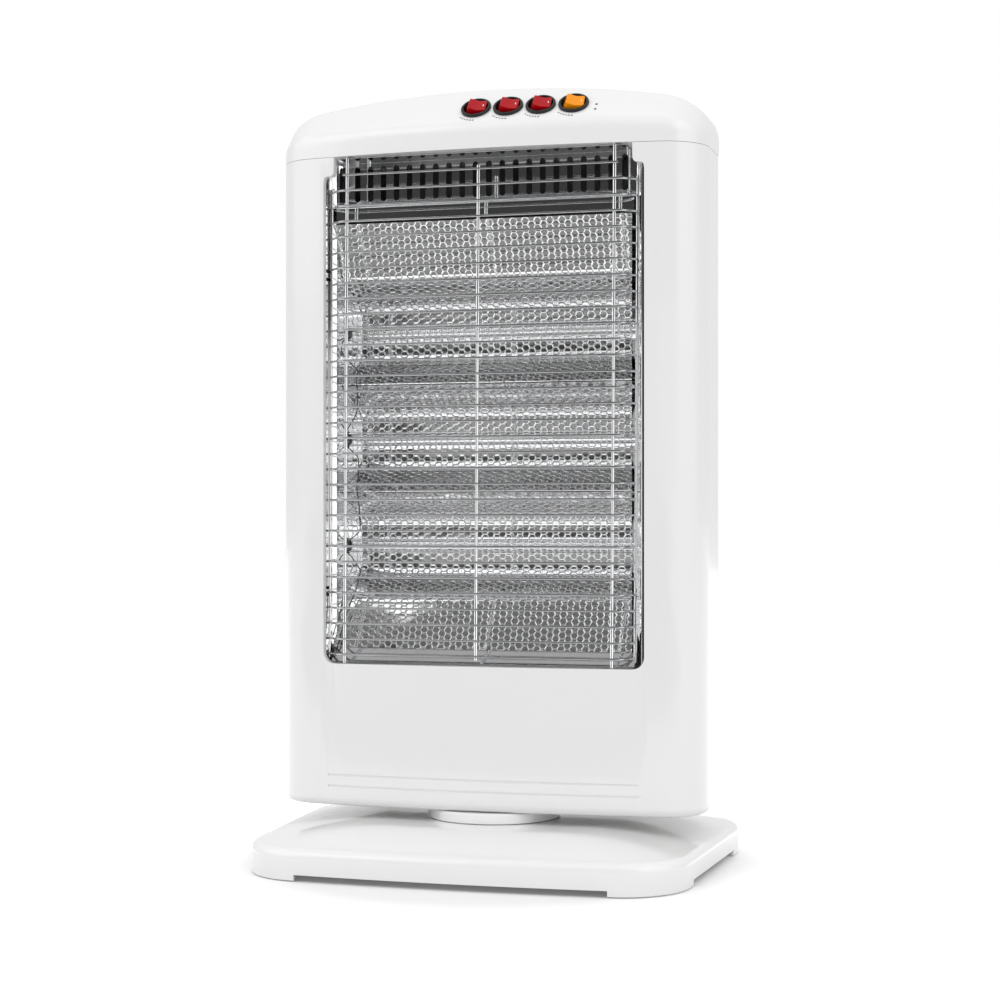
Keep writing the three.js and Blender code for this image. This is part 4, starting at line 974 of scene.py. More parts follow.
def sweep(path: Sequence[Vector], radius: float, sides: int, mesh: BMesh | None = None) -> BMesh:
    """Draws a round wire along a path.

    Args:
        path: The wire's centre points.
        radius: Its radius.
        sides: The number of faces round it.
        mesh: The mesh to draw in, or none for a new one.

    Returns:
        The mesh with the closed wire in it.
    """
    headings = [(b - a).normalized() for a, b in zip(path, path[1:])]
    between = ((a + b).normalized() for a, b in zip(headings, headings[1:]))
    along = [headings[0], *between, headings[-1]]
    turn = Vector((0, 0, 1)).rotation_difference(along[0])
    loft: Loft | None = None
    for i, centre in enumerate(path):
        if i:
            turn = along[i - 1].rotation_difference(along[i]) @ turn
        ring = []
        for side in range(sides):
            angle = 2 * math.pi * side / sides
            spoke = Vector((radius * math.cos(angle), radius * math.sin(angle), 0))
            ring.append(centre + turn @ spoke)
        loft = loft.pull(ring) if loft else Loft(ring, mesh)
    loft.fill(loft.first)
    loft.fill(loft.ring)
    return loft.mesh


def rounded_path(corners: Sequence[Vector], radius: float, strips: int = 5) -> list[Vector]:
    """Rounds the corners of a path.

    Args:
        corners: The path's corners.
        radius: How far before and after a corner its bend reaches.
        strips: The number of steps in a bend.

    Returns:
        The points of the rounded path.
    """
    path = [corners[0]]
    for before, corner, after in zip(corners, corners[1:], corners[2:]):
        start = corner + (before - corner).normalized() * radius
        end = corner + (after - corner).normalized() * radius
        for i in range(strips + 1):
            t = i / strips
            path.append(start * (1 - t) ** 2 + corner * 2 * t * (1 - t) + end * t**2)
    return [*path, corners[-1]]


def added(name: str, data: bpy.types.ID) -> bpy.types.Object:
    """Adds an object with the given data to the scene and returns it."""
    made = bpy.data.objects.new(name, data)
    bpy.context.scene.collection.objects.link(made)
    return made


def combine(base: BMesh, tools: Iterable[BMesh], how: Combine = Combine.CUT) -> BMesh:
    """Cuts, joins or intersects a shape with others, which are used up.

    Args:
        base: The shape that is changed.
        tools: The shapes that change it.
        how: What they do to it.

    Returns:
        The new shape.
    """
    holders = []
    for i, shape in enumerate([base, *tools]):
        outward(shape)
        mesh = bpy.data.meshes.new(f"working_{i}")
        shape.to_mesh(mesh)
        shape.free()
        holders.append(added(mesh.name, mesh))
    for tool in holders[1:]:
        step = holders[0].modifiers.new("combine", "BOOLEAN")
        step.operation = how.value
        step.solver = "MANIFOLD"
        step.object = tool
    depsgraph = bpy.context.evaluated_depsgraph_get()
    result = bmesh.new()
    result.from_mesh(holders[0].evaluated_get(depsgraph).data)
    for holder in holders:
        mesh = holder.data
        bpy.data.objects.remove(holder)
        bpy.data.meshes.remove(mesh)
    return result


def tidied(mesh: BMesh, angle: float = 0.05) -> BMesh:
    """Merges doubled corners and flat neighbours after a cut.

    Args:
        mesh: The shape.
        angle: Faces that turn less than this, in degrees, become one.

    Returns:
        The same shape.
    """
    bmesh.ops.remove_doubles(mesh, verts=mesh.verts, dist=2 * WELD)
    bmesh.ops.dissolve_limit(
        mesh,
        angle_limit=math.radians(angle),
        verts=mesh.verts,
        edges=mesh.edges,
        delimit={"NORMAL"},
    )
    return outward(mesh)


def soften(mesh: BMesh, pick: Callable[[BMEdge], bool], offset: float, segments: int) -> BMesh:
    """Rounds chosen edges of a shape.

    Args:
        mesh: The shape.
        pick: Says of an edge whether it is rounded.
        offset: The width of the rounding on each side.
        segments: The number of strips across it.

    Returns:
        The same shape.
    """
    mesh.normal_update()
    edges = [edge for edge in mesh.edges if len(edge.link_faces) == 2 and pick(edge)]
    round_off(mesh, edges, offset, segments=segments, clamp_overlap=True)
    return outward(mesh)


@dataclass(frozen=True)
class Placement:
    """How a finished shape becomes a piece of the heater.

    Attributes:
        slot: The record's material slot.
        replaces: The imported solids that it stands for.
        body: The moving body that it rides on, for most pieces the head.
        edge_round: Width of the small rounding on its sharp edges, in millimetres.
        edge_segments: The number of strips across that rounding.
        crease_angle: Edges sharper than this stay crisp in shading, in degrees.
    """

    # slot: The name of its material slot; it is not used.
    slot: str
    replaces: tuple[str, ...] = ()
    body: str = Body.HEAD.value
    edge_round: float = 0.0
    edge_segments: int = 2
    crease_angle: float = 32.0


def place_piece(mesh: BMesh, name: str, finish: Finish, placement: Placement) -> None:
    """Brings a shape to metres and makes it a piece.

    Args:
        mesh: The shape in millimetres, which is used up.
        name: The piece's name.
        finish: Its finish.
        placement: Where it belongs.
    """
    bmesh.ops.scale(mesh, vec=(MM, MM, MM), verts=mesh.verts)
    data = bpy.data.meshes.new(name)
    mesh.to_mesh(data)
    mesh.free()
    data.shade_smooth()
    data.set_sharp_from_angle(angle=math.radians(placement.crease_angle))
    data.materials.append(finish.material())
    piece = added(name, data)
    if placement.edge_round:
        rounding = piece.modifiers.new("edge_rounding", "BEVEL")
        rounding.width = placement.edge_round * MM
        rounding.segments = placement.edge_segments
        rounding.limit_method = "ANGLE"
        rounding.angle_limit = math.radians(ROUNDED_FROM)
        rounding.harden_normals = True
    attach(piece, placement.body)
    if placement.replaces:
        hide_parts(*placement.replaces)
    LOG.info("%s: %d faces, rides on %s", name, len(data.polygons), placement.body)


# ---- Case


@dataclass(frozen=True)
class BowedPlan:
    """An outline in plan whose bowed front runs into round corners.

    Attributes:
        front: Depth of the front at its middle.
        bow: How far the front has fallen back at bow_half.
        bow_half: Distance from the middle at which the bow is measured.
        arc_start: Distance from the middle at which the corner starts.
        arc_radius: Radius of the corner.
        bow_strips: The number of strips in half the front.
        arc_strips: The number of strips in a corner.
    """

    front: float
    bow: float
    bow_half: float
    arc_start: float
    arc_radius: float
    bow_strips: int
    arc_strips: int

    @property
    def arc_turn(self) -> float:
        """Angle at which the bow runs into the corner arc."""
        return math.atan(2 * self.bow * self.arc_start / self.bow_half**2)

    @property
    def arc_centre(self) -> Point:
        """Centre of the right front corner arc."""
        return (
            self.arc_start - self.arc_radius * math.sin(self.arc_turn),
            self.front_at(self.arc_start) + self.arc_radius * math.cos(self.arc_turn),
        )

    @property
    def half_width(self) -> float:
        """Half the width at the sides."""
        return self.arc_centre[0] + self.arc_radius

    def front_at(self, x: float) -> float:
        """Depth of the bowed front at a place across it."""
        return self.front + self.bow * (x / self.bow_half) ** 2

    def front_half(self, inset: float) -> list[Point]:
        """Right half of the front, from the middle to the side wall, moved inward by an inset."""
        strip = self.arc_start / self.bow_strips
        bowed = [(i * strip, self.front_at(i * strip) + inset) for i in range(self.bow_strips)]
        start = math.degrees(self.arc_turn) - 90
        arc = arc_points(self.arc_centre, self.arc_radius - inset, start, 0.0, self.arc_strips)
        return [*bowed, *arc]


@dataclass(frozen=True)
class CasePlan(BowedPlan):
    """The case's outline in plan and its walls, shared by all its mouldings."""

    front: float = -47.0
    bow: float = 12.6
    bow_half: float = 168.0
    arc_start: float = 136.0
    arc_radius: float = 36.0
    bow_strips: int = 34
    arc_strips: int = 16
    rear: float = 62.0
    rear_radius: float = 26.0
    bottom: float = 43.5
    seam: float = 539.5
    wall: float = 2.6
    edge_radius: float = 6.0
    shell_seam: float = 34.0
    edge_strips: int = 8

    def ring(self, inset: float, z: float) -> list[Vector]:
        """The whole outline at a height.

        Args:
            inset: How far it lies inside the case's surface.
            z: The height.

        Returns:
            The outline's corners, from the front middle.
        """
        corner = (self.half_width - self.rear_radius, self.rear - self.rear_radius)
        rear = arc_points(corner, self.rear_radius - inset, 0.0, 90.0, self.arc_strips)
        half = [*self.front_half(inset), *rear, (0.0, self.rear - inset)]
        return mirrored([Vector((x, y, z)) for x, y in half])

    def skin(self, inset: float, top: float, low: float | None = None) -> Loft:
        """The case's wall surface with its rounded lower edge.

        Args:
            inset: How far it lies inside the case's surface.
            top: Its upper end.
            low: A lower end below the rounded edge, or none.

        Returns:
            The open skin.
        """
        rings = []
        if low is not None:
            rings.append(self.ring(inset + self.edge_radius, low))
        for i in range(self.edge_strips + 1):
            turn = math.pi / 2 * i / self.edge_strips
            drawn_in = self.edge_radius * (1 - math.sin(turn))
            z = self.bottom + self.edge_radius * (1 - math.cos(turn))
            rings.append(self.ring(inset + drawn_in, z))
        rings.append(self.ring(inset, top))
        return drawn_through(rings)

    def half_shell(self, inset: float, front: bool) -> BMesh:
        """One half of the case wall, parted at the upright seam.

        Args:
            inset: How far its outside lies inside the case's surface.
            front: Whether it is the front half.

        Returns:
            The closed wall.
        """
        mesh = outward(self.skin(inset, self.seam - CLEARANCE / 2).mesh)
        gap = -CLEARANCE / 2 if front else CLEARANCE / 2
        bmesh.ops.bisect_plane(
            mesh,
            geom=everything(mesh),
            plane_co=(0, self.shell_seam + gap, 0),
            plane_no=(0, 1, 0),
            clear_outer=front,
            clear_inner=not front,
        )
        bmesh.ops.solidify(mesh, geom=list(mesh.faces), thickness=self.wall)
        return outward(mesh)


PLAN = CasePlan()


@dataclass
class FrontFrame:
    """The white front moulding with the window and its trim lines."""

    half: float = 125.0
    bottom: float = 152.2
    corner_radius: float = 9.0
    neck_half: float = 116.4
    neck: float = 530.0
    shoulder: float = 520.0
    lip: float = 2.2
    lip_back: float = -34.0
    mouth_round: float = 1.7
    mouth_strips: int = 4
    trim_top: float = 66.4
    trim_pitch: float = 8.6
    trim_height: float = 1.6
    trim_depth: float = 0.6
    trim_half: float = 121.0
    trim_count: int = 2

    def window(self, grow: float) -> list[Point]:
        """Outline of the window opening.

        Args:
            grow: How far the outline lies outside the opening.

        Returns:
            The outline's corners in X and Z.
        """
        half, neck = self.half + grow, self.neck_half + grow
        low, radius = self.bottom - grow, self.corner_radius + grow
        arc = arc_points((half - radius, low + radius), radius, -90.0, 0.0, 8)
        ogee = [(half, self.shoulder), (half, self.neck), (neck, self.shoulder), (neck, self.neck)]
        right = [*arc, ogee[0], *bezier_points(ogee, 10), (neck, PLAN.seam + OVERRUN)]
        return [*right, *((-x, z) for x, z in reversed(right))]

    def trim_cutters(self) -> list[BMesh]:
        """The bands that cut the trim lines into the front."""
        cutters = []
        for i in range(self.trim_count):
            z = self.trim_top - i * self.trim_pitch
            band = block(
                (-self.trim_half, PLAN.front - OVERRUN, z),
                (self.trim_half, self.lip_back, z + self.trim_height),
            )
            keep = PLAN.skin(self.trim_depth, PLAN.seam).closed()
            cutters.append(combine(band, [keep]))
        return cutters

    def on_mouth(self, edge: BMEdge) -> bool:
        """Says whether an edge runs round the front of the window."""
        sharp, near, margin, level = math.radians(50), 0.05, 0.5, 1e-4
        if edge.calc_face_angle(0.0) < sharp:
            return False
        for corner in edge.verts:
            x, y, z = corner.co
            if abs(y - PLAN.front_at(x)) > near or abs(x) > self.half + margin:
                return False
            if not self.bottom - margin < z < PLAN.seam + 2 * margin:
                return False
        start, end = (corner.co.z for corner in edge.verts)
        return abs(start - end) > level or start < self.neck

    def build(self) -> None:
        """Builds and places the moulding."""
        rim = combine(
            prism(self.window(self.lip), Plane.XZ, PLAN.front - OVERRUN, self.lip_back),
            [PLAN.skin(0.0, PLAN.seam - CLEARANCE / 2).closed()],
            Combine.COMMON,
        )
        mesh = combine(PLAN.half_shell(0.0, front=True), [rim], Combine.JOIN)
        opening = prism(self.window(0.0), Plane.XZ, PLAN.front - OVERRUN, self.lip_back + OVERRUN)
        mesh = tidied(combine(mesh, [opening]))
        mesh = soften(mesh, self.on_mouth, self.mouth_round, self.mouth_strips)
        mesh = tidied(combine(mesh, self.trim_cutters()))
        placement = Placement("white_gloss", ("front_frame",), edge_round=0.3)
        place_piece(mesh, "front_moulding", GLOSS_WHITE, placement)


@dataclass
class RearShell:
    """The rear half of the case with its air slots."""

    step: float = 1.2
    slot_count: int = 13
    slot_pitch: float = 17.0
    slot_width: float = 6.0
    slot_height: float = 44.0
    slot_rows: tuple[float, ...] = (118.0, 506.0)
    screw_x: float = 134.0
    screw_z: float = 76.0
    screw_hole: float = 1.9
    gland_x: float = 112.0
    gland_z: float = 84.0
    gland_hole: float = 6.8

    @property
    def outer(self) -> float:
        """Depth of the rear face."""
        return PLAN.rear - self.step

    def cutters(self) -> list[BMesh]:
        """The slots, the screw holes and the hole for the cord gland."""
        low, high = self.outer - PLAN.wall - OVERRUN, PLAN.rear + OVERRUN
        cutters = []
        for row in self.slot_rows:
            for i in range(self.slot_count):
                x = (i - (self.slot_count - 1) / 2) * self.slot_pitch
                shape = obround(x, row, self.slot_width, self.slot_height)
                cutters.append(prism(shape, Plane.XZ, low, high))
        for x in (-self.screw_x, self.screw_x):
            hole = rod(self.screw_hole, Plane.XZ, low, high, HOLE_SIDES)
            cutters.append(shifted(hole, x, 0, self.screw_z))
        hole = rod(self.gland_hole, Plane.XZ, low, high)
        cutters.append(shifted(hole, self.gland_x, 0, self.gland_z))
        return cutters

    def build(self) -> None:
        """Builds and places the shell."""
        wall = PLAN.half_shell(self.step, front=False)
        mesh = tidied(combine(wall, self.cutters()))
        placement = Placement("white_gloss", ("rear_shell",), edge_round=0.5)
        place_piece(mesh, "rear_moulding", GLOSS_WHITE, placement)


def obround(x: float, z: float, width: float, height: float) -> list[Point]:
    """Outline of an upright slot with round ends.

    Args:
        x: Its middle across.
        z: Its middle in height.
        width: Its width.
        height: Its height, with the round ends.

    Returns:
        The outline's corners.
    """
    reach = (height - width) / 2
    upper = arc_points((x, z + reach), width / 2, 0.0, 180.0, 10)
    lower = arc_points((x, z - reach), width / 2, 180.0, 360.0, 10)
    return [*upper, *lower]


@dataclass
class ControlCap:
    """The top moulding with the slanted control face."""

    height: float = 50.5
    face_height: float = 18.5
    face_share: float = 0.4
    ridge_round: float = 4.0
    brow_round: float = 7.0
    brow_share: float = 0.45
    rear_round_y: float = 15.0
    rear_round_z: float = 17.0
    arch: float = 10.6
    arch_half: float = 135.0
    end_drop: float = 34.0
    ledge: float = 2.6
    opening_half: float = 100.0
    opening_front: float = 0.0
    opening_rear: float = 44.0
    post_x: float = 104.5
    post_y: float = -37.25
    post_hole: float = 3.4
    round_strips: int = 6

    @property
    def bottom(self) -> float:
        """Height of the cap's lower edge."""
        return PLAN.seam + CLEARANCE / 2

    def top_at(self, x: float) -> float:
        """Height of the arched top at a place across it."""
        crown = PLAN.seam + self.height
        arched = crown - self.arch * (x / self.arch_half) ** 2
        past = max(0.0, (abs(x) - self.arch_half) / (PLAN.half_width - self.arch_half))
        end = crown - self.end_drop
        return end + (arched - end) * math.sqrt(max(0.0, 1 - past**2))

    def rear_at(self, x: float, inset: float) -> float:
        """Depth of the rear wall at a place across it."""
        past = max(0.0, abs(x) - (PLAN.half_width - PLAN.rear_radius))
        reach = PLAN.rear_radius - inset
        return PLAN.rear - inset - (reach - math.sqrt(max(0.0, reach**2 - past**2)))

    def slice_at(self, x: float, front: float, inset: float, low: float) -> list[Vector]:
        """One slice of the cap in depth and height.

        Args:
            x: Where the slice stands.
            front: Depth of its front.
            inset: How far it lies inside the cap's surface.
            low: Height of its lower edge.

        Returns:
            The slice's corners, from the lower front.
        """
        height = self.top_at(x * PLAN.half_width / (PLAN.half_width - inset)) - PLAN.seam
        top = PLAN.seam + height - inset
        face = PLAN.seam + min(self.face_height, self.face_share * height)
        face -= inset * (math.sqrt(2) - 1)
        rear = self.rear_at(x, inset)
        ridge = front + top - face
        turn = self.ridge_round - inset * self.face_share
        brow = min(self.brow_round, self.brow_share * (face - low))
        rear_z = min(self.rear_round_z, height * self.face_share)
        lean = math.sqrt(0.5)
        points = [(front, low), (rear, low)]
        for i in range(self.round_strips + 1):
            angle = math.pi / 2 * i / self.round_strips
            y = rear - self.rear_round_y * (1 - math.cos(angle))
            points.append((y, top - rear_z * (1 - math.sin(angle))))
        crest = [(ridge + turn, top), (ridge, top), (ridge - turn * lean, top - turn * lean)]
        points += [crest[0], *bezier_points(crest, self.round_strips)]
        fold = [(front + brow * lean, face + brow * lean), (front, face), (front, face - brow)]
        points += [fold[0], *bezier_points(fold, self.round_strips)]
        return [Vector((x, y, z)) for y, z in points]

    def solid(self, inset: float, low: float) -> BMesh:
        """The cap as a full block.

        Args:
            inset: How far it lies inside the cap's surface.
            low: Height of its lower edge.

        Returns:
            The closed block.
        """
        right = PLAN.front_half(inset)
        stations = [*((-x, y) for x, y in reversed(right[1:])), *right]
        return drawn_through([self.slice_at(x, y, inset, low) for x, y in stations]).closed()

    def build(self, switches: "SwitchRow") -> None:
        """Builds and places the cap.

        Args:
            switches: The switches whose holes it has.
        """
        low = self.bottom
        under, over = low - OVERRUN, low + self.ledge + OVERRUN
        cutters = [
            self.solid(PLAN.wall, low + self.ledge),
            block(
                (-self.opening_half, self.opening_front, under),
                (self.opening_half, self.opening_rear, over),
            ),
        ]
        for x in (-self.post_x, self.post_x):
            hole = rod(self.post_hole, Plane.XY, under, over, HOLE_SIDES)
            cutters.append(shifted(hole, x, self.post_y, 0))
        radius = switches.barrel_radius + CLEARANCE
        for i in range(switches.count):
            hole = rod(radius, Plane.XY, -switches.barrel_depth, OVERRUN)
            cutters.append(moved(hole, switches.frame(i)))
        mesh = tidied(combine(self.solid(0.0, low), cutters))
        placement = Placement("white_gloss", ("top_cap",), edge_round=0.3)
        place_piece(mesh, "top_moulding", GLOSS_WHITE, placement)


# ---- Switches


@dataclass
class SwitchRow:
    """Four round rocker switches on the slanted face."""

    count: int = 4
    first_x: float = -5.0
    pitch: float = 25.0
    rise: float = 13.792
    face_height: float = 18.5
    bezel_radius: float = 11.5
    bezel_height: float = 1.9
    bezel_lip: float = 0.5
    bezel_shoulder: Point = (1.1, 1.0)
    barrel_radius: float = 10.4
    barrel_depth: float = 13.0
    pocket_radius: float = 9.5
    pocket_depth: float = 10.5
    pivot_depth: float = 2.6
    half_length: float = 8.3
    top_half_length: float = 6.6
    half_width: float = 6.2
    plan_over: float = 1.0
    end_height: float = 7.2
    middle_height: float = 6.0
    valley_half: float = 3.0
    valley_edge: float = 6.45
    skirt_depth: float = 2.6
    heel_depth: float = 6.4
    heel_share: float = 0.55
    tilt: float = 14.0
    mark_size: Point = (0.7, 2.0)
    mark_x: float = 4.6
    mark_sink: float = 0.2
    print_radius: float = 14.6
    print_start: float = 226.0
    print_step: float = 9.0
    print_count: int = 6
    print_size: Point = (1.2, 0.8)
    dots: tuple[Point, ...] = ((17.3, -1.3), (17.0, -7.6))
    dot_size: Point = (1.5, 1.5)
    print_height: float = 0.08
    print_sink: float = 0.3

    def frame(self, index: int) -> Matrix:
        """Local frame of one switch: across, up the slant and out of the face."""
        x = self.first_x + index * self.pitch
        yaw = 2 * PLAN.bow * x / PLAN.bow_half**2
        lean = math.sqrt(0.5)
        across = Vector((1, yaw, 0)).normalized()
        out = Vector((yaw * lean, -lean, lean)).normalized()
        up = out.cross(across)
        place = Vector((x, PLAN.front_at(x) + self.rise, PLAN.seam + self.face_height + self.rise))
        turn = Matrix((across, up, out)).transposed().to_4x4()
        return Matrix.Translation(place) @ turn

    def housing(self, index: int) -> None:
        """Builds the black housing with its rounded bezel."""
        low, high = CLEARANCE, CLEARANCE + self.bezel_height
        outer, inner, lip = self.bezel_radius, self.pocket_radius, self.bezel_lip
        across, down = self.bezel_shoulder
        profile = [
            (0.0, -self.pocket_depth),
            (inner, -self.pocket_depth),
            (inner, high - lip),
            *bezier_points([(inner, high - lip), (inner, high), (inner + lip, high)], 3),
            (outer - across, high),
            *bezier_points([(outer - across, high), (outer, high), (outer, high - down)], 5),
            (outer, low),
            (self.barrel_radius, low),
            (self.barrel_radius, -self.barrel_depth),
            (0.0, -self.barrel_depth),
        ]
        mesh = moved(turned(profile, 64), self.frame(index))
        name = f"switch_housing_{index + 1}"
        placement = Placement("black_plastic", (name,))
        place_piece(mesh, f"bezel_{index + 1}", BLACK_PLASTIC, placement)

    def rocker_profile(self) -> list[Point]:
        """Side view of a rocker, its two faces meeting in a shallow valley."""
        right = [
            (self.half_length * self.heel_share, -self.heel_depth),
            (self.half_length, -self.skirt_depth),
            (self.half_length, 0.0),
            (self.top_half_length, self.end_height),
        ]
        valley = bezier_points(
            [
                (self.valley_half, self.valley_edge),
                (0.0, self.middle_height - self.valley_edge + self.middle_height),
                (-self.valley_half, self.valley_edge),
            ],
            6,
        )
        left = [(-x, z) for x, z in reversed(right)]
        return [*right, (self.valley_half, self.valley_edge), *valley, *left]

    def rocker(self, index: int) -> None:
        """Builds one rocker with its printed mark."""
        wedge = prism(self.rocker_profile(), Plane.XZ, -self.half_width, self.half_width)
        low, high = -self.heel_depth - self.plan_over, self.end_height + self.plan_over
        plan = rod(self.half_length, Plane.XY, low, high, 64)
        mesh = tidied(combine(wedge, [plan], Combine.COMMON))
        tilt = Matrix.Rotation(math.radians(self.tilt), 4, "Y")
        place = self.frame(index) @ Matrix.Translation((0, 0, -self.pivot_depth)) @ tilt
        last = index == self.count - 1
        finish, slot = (ROCKER_AMBER, "rocker_amber") if last else (ROCKER_RED, "rocker_red")
        body = Body[f"ROCKER_{index + 1}"].value
        edges = {"edge_round": 0.7, "edge_segments": 4, "crease_angle": 50.0}
        placement = Placement(slot, (f"rocker_{index + 1}",), body, **edges)
        place_piece(moved(mesh, place), f"rocker_cap_{index + 1}", finish, placement)
        wide, long = self.mark_size
        run = self.top_half_length - self.valley_half
        rise = math.atan2(self.end_height - self.valley_edge, run)
        level = self.valley_edge + math.tan(rise) * (self.mark_x - self.valley_half)
        seat = Matrix.Translation((self.mark_x, 0, level)) @ Matrix.Rotation(-rise, 4, "Y")
        bar = block(
            (-wide / 2, -long / 2, -self.mark_sink), (wide / 2, long / 2, self.print_height)
        )
        mark = Placement(slot, body=body)
        place_piece(moved(bar, place @ seat), f"rocker_mark_{index + 1}", PRINT_WHITE, mark)

    def dash(self, index: int, place: Point, size: Point, turn: float) -> BMesh:
        """One small printed dash beside a switch.

        Args:
            index: The switch.
            place: Its place across the face and up the slant.
            size: Its length and height.
            turn: How far it is turned, in degrees.

        Returns:
            The dash as a thin plate.
        """
        long, high = size
        plate = block(
            (-long / 2, -high / 2, -self.print_sink), (long / 2, high / 2, self.print_height)
        )
        turned_to = Matrix.Rotation(math.radians(turn), 4, "Z")
        return moved(plate, self.frame(index) @ Matrix.Translation((*place, 0)) @ turned_to)

    def prints(self) -> None:
        """Prints the tick arcs under the switches and the two dots beside the last."""
        placement = Placement("black_plastic")
        for index in range(self.count):
            for step in range(self.print_count):
                angle = math.radians(self.print_start + step * self.print_step)
                place = (self.print_radius * math.cos(angle), self.print_radius * math.sin(angle))
                turn = math.degrees(angle) + 90
                tick = self.dash(index, place, self.print_size, turn)
                place_piece(tick, f"tick_{index + 1}_{step + 1}", PRINT_BLACK, placement)
        for number, place in enumerate(self.dots):
            dot = self.dash(self.count - 1, place, self.dot_size, 0.0)
            place_piece(dot, f"dot_{number + 1}", PRINT_BLACK, placement)

    def build(self) -> None:
        """Builds all switches."""
        for index in range(self.count):
            self.housing(index)
            self.rocker(index)
        self.prints()


# ---- Radiant box


@dataclass
class RadiantBox:
    """Bright sheet lining behind the guard: side panels, reflectors, vent panel and tray."""

    shift: float = -2.2
    sheet: float = 0.8
    panel_mouth: Point = (123.8, -33.7)
    panel_fold: Point = (118.3, -18.0)
    panel_back: Point = (111.3, 15.3)
    panel_seat: float = 100.0
    panel_step: float = 1.3
    panel_bend: float = 1.2
    strip_folds: tuple[Point, ...] = ((121.1, -25.2), (118.3, -22.4))
    strip_bend: float = 0.4
    vent_behind: float = -10.6
    panel_low: float = 154.0
    panel_high: float = 539.35
    tubes: tuple[float, ...] = (408.0, 325.0, 242.0)
    tube_y: float = -4.0
    tube_hole: float = 6.0
    ridge_y: float = -13.0
    ridge_half: float = 40.5
    back_y: float = 15.0
    back_half: float = 22.0
    trough_bend: float = 8.0
    flare_top: Point = (-25.0, 490.0)
    flare_bottom: Point = (-26.0, 164.0)
    flare_bend: float = 2.0
    end_gap_left: float = 0.3
    end_gap_right: float = 4.6
    vent_y: float = -12.0
    vent_low: float = 505.0
    vent_fold: Point = (-26.5, 503.0)
    vent_lip: float = 492.0
    vent_half: float = 117.0
    vent_slots: int = 22
    vent_pitch: float = 10.61
    vent_slot_width: float = 4.6
    vent_slot_low: float = 509.0
    vent_slot_high: float = 536.4
    vent_middle: float = -4.2
    vent_thickness: float = 1.3
    vent_bends: Point = (1.5, 1.2)
    tray_half: float = 118.5
    tray_low: float = 152.5
    tray_front: float = -35.6
    tray_fold: float = -33.7
    tray_bend: float = 0.6
    lid_half: float = 112.0
    lid_front: float = -35.7
    lid_sheet: float = 0.6
    clip_heights: tuple[float, ...] = (453.6, 447.4, 209.8, 204.6)
    clip_depths: Point = (1.0, 6.4)
    clip_half: float = 1.2
    shield_y: float = 27.0
    shield_half: float = 120.0

    def panel_line(self, side: Side) -> list[Point]:
        """Folded line of one side panel in plan, before the shift."""
        sign = side.value
        corners = [
            self.panel_mouth,
            self.panel_fold,
            self.panel_back,
            (self.panel_seat, self.panel_back[1] + self.panel_step),
        ]
        return [(sign * x, y) for x, y in corners]

    def place(
        self,
        mesh: BMesh,
        name: str,
        finish: Finish,
        replaces: tuple[str, ...] = (),
        **edges: float,
    ) -> None:
        """Places a piece of the lining, set off across the case."""
        placement = Placement("polished_aluminium", replaces, **edges)
        place_piece(shifted(mesh, self.shift, 0, 0), name, finish, placement)

    def side_panel(self, side: Side) -> None:
        """Builds one side panel: a folded front strip, a mirror-bright wall and its hidden top,
        painted dark as shade.
        """
        sign = side.value
        line = self.panel_line(side)
        span = (self.panel_low, self.panel_high)
        low_span, high_span = (self.panel_low, self.vent_lip), (self.vent_lip, self.panel_high)
        inward = Vector((-sign, 0, 0))
        folds = [line[0], *((sign * x, y) for x, y in self.strip_folds), line[1]]
        small, large = self.strip_bend, self.panel_bend
        strip = folded_sheet(folds, Plane.XY, span, {1: small, 2: small}, inward, self.sheet)
        wall = folded_sheet(line[1:], Plane.XY, low_span, {1: large}, inward, self.sheet)
        fold, back = Vector(line[1]), Vector(line[2])
        middle = tuple(fold.lerp(back, (self.vent_behind - fold.y) / (back.y - fold.y)))
        plain = folded_sheet([line[1], middle], Plane.XY, high_span, {}, inward, self.sheet)
        rest = [middle, *line[2:]]
        hidden = folded_sheet(rest, Plane.XY, high_span, {1: large}, inward, self.sheet)
        low, high = sorted((sign * self.panel_seat, sign * (self.panel_mouth[0] + 4 * OVERRUN)))
        holes = []
        for z in self.tubes:
            hole = rod(self.tube_hole, Plane.YZ, low, high)
            holes.append(shifted(hole, 0, self.tube_y, z))
        clips = []
        front, rear = (self.panel_mouth[1] + depth for depth in self.clip_depths)
        for z in self.clip_heights:
            clips.append(block((low, front, z - self.clip_half), (high, rear, z + self.clip_half)))
        name = side.name.lower()
        wall, strip = combine(wall, holes), combine(strip, clips)
        self.place(wall, f"end_wall_{name}", BRIGHT_SHEET, (f"side_panel_{name}",))
        self.place(plain, f"plain_wall_{name}", BRIGHT_SHEET, edge_round=0.15)
        self.place(hidden, f"hidden_wall_{name}", SHADED_SHEET, edge_round=0.15)
        self.place(strip, f"front_strip_{name}", BRIGHT_SHEET, edge_round=0.15)

    def trim_end(self, mesh: BMesh, side: Side, gap: float) -> None:
        """Trims a reflector along the slant of a side panel.

        Args:
            mesh: The reflector's sheet.
            side: The end that is trimmed.
            gap: Distance left to the panel.
        """
        line = self.panel_line(side)
        fold, back = Vector((*line[1], 0)), Vector((*line[2], 0))
        along = (back - fold).normalized()
        out = Vector((-along.y, along.x, 0))
        out = out if out.x * side.value > 0 else -out
        cut = bmesh.ops.bisect_plane(
            mesh,
            geom=everything(mesh),
            plane_co=fold - out * gap,
            plane_no=out,
            clear_outer=True,
        )
        rim = [part for part in cut["geom_cut"] if isinstance(part, BMEdge)]
        bmesh.ops.contextual_create(mesh, geom=rim)

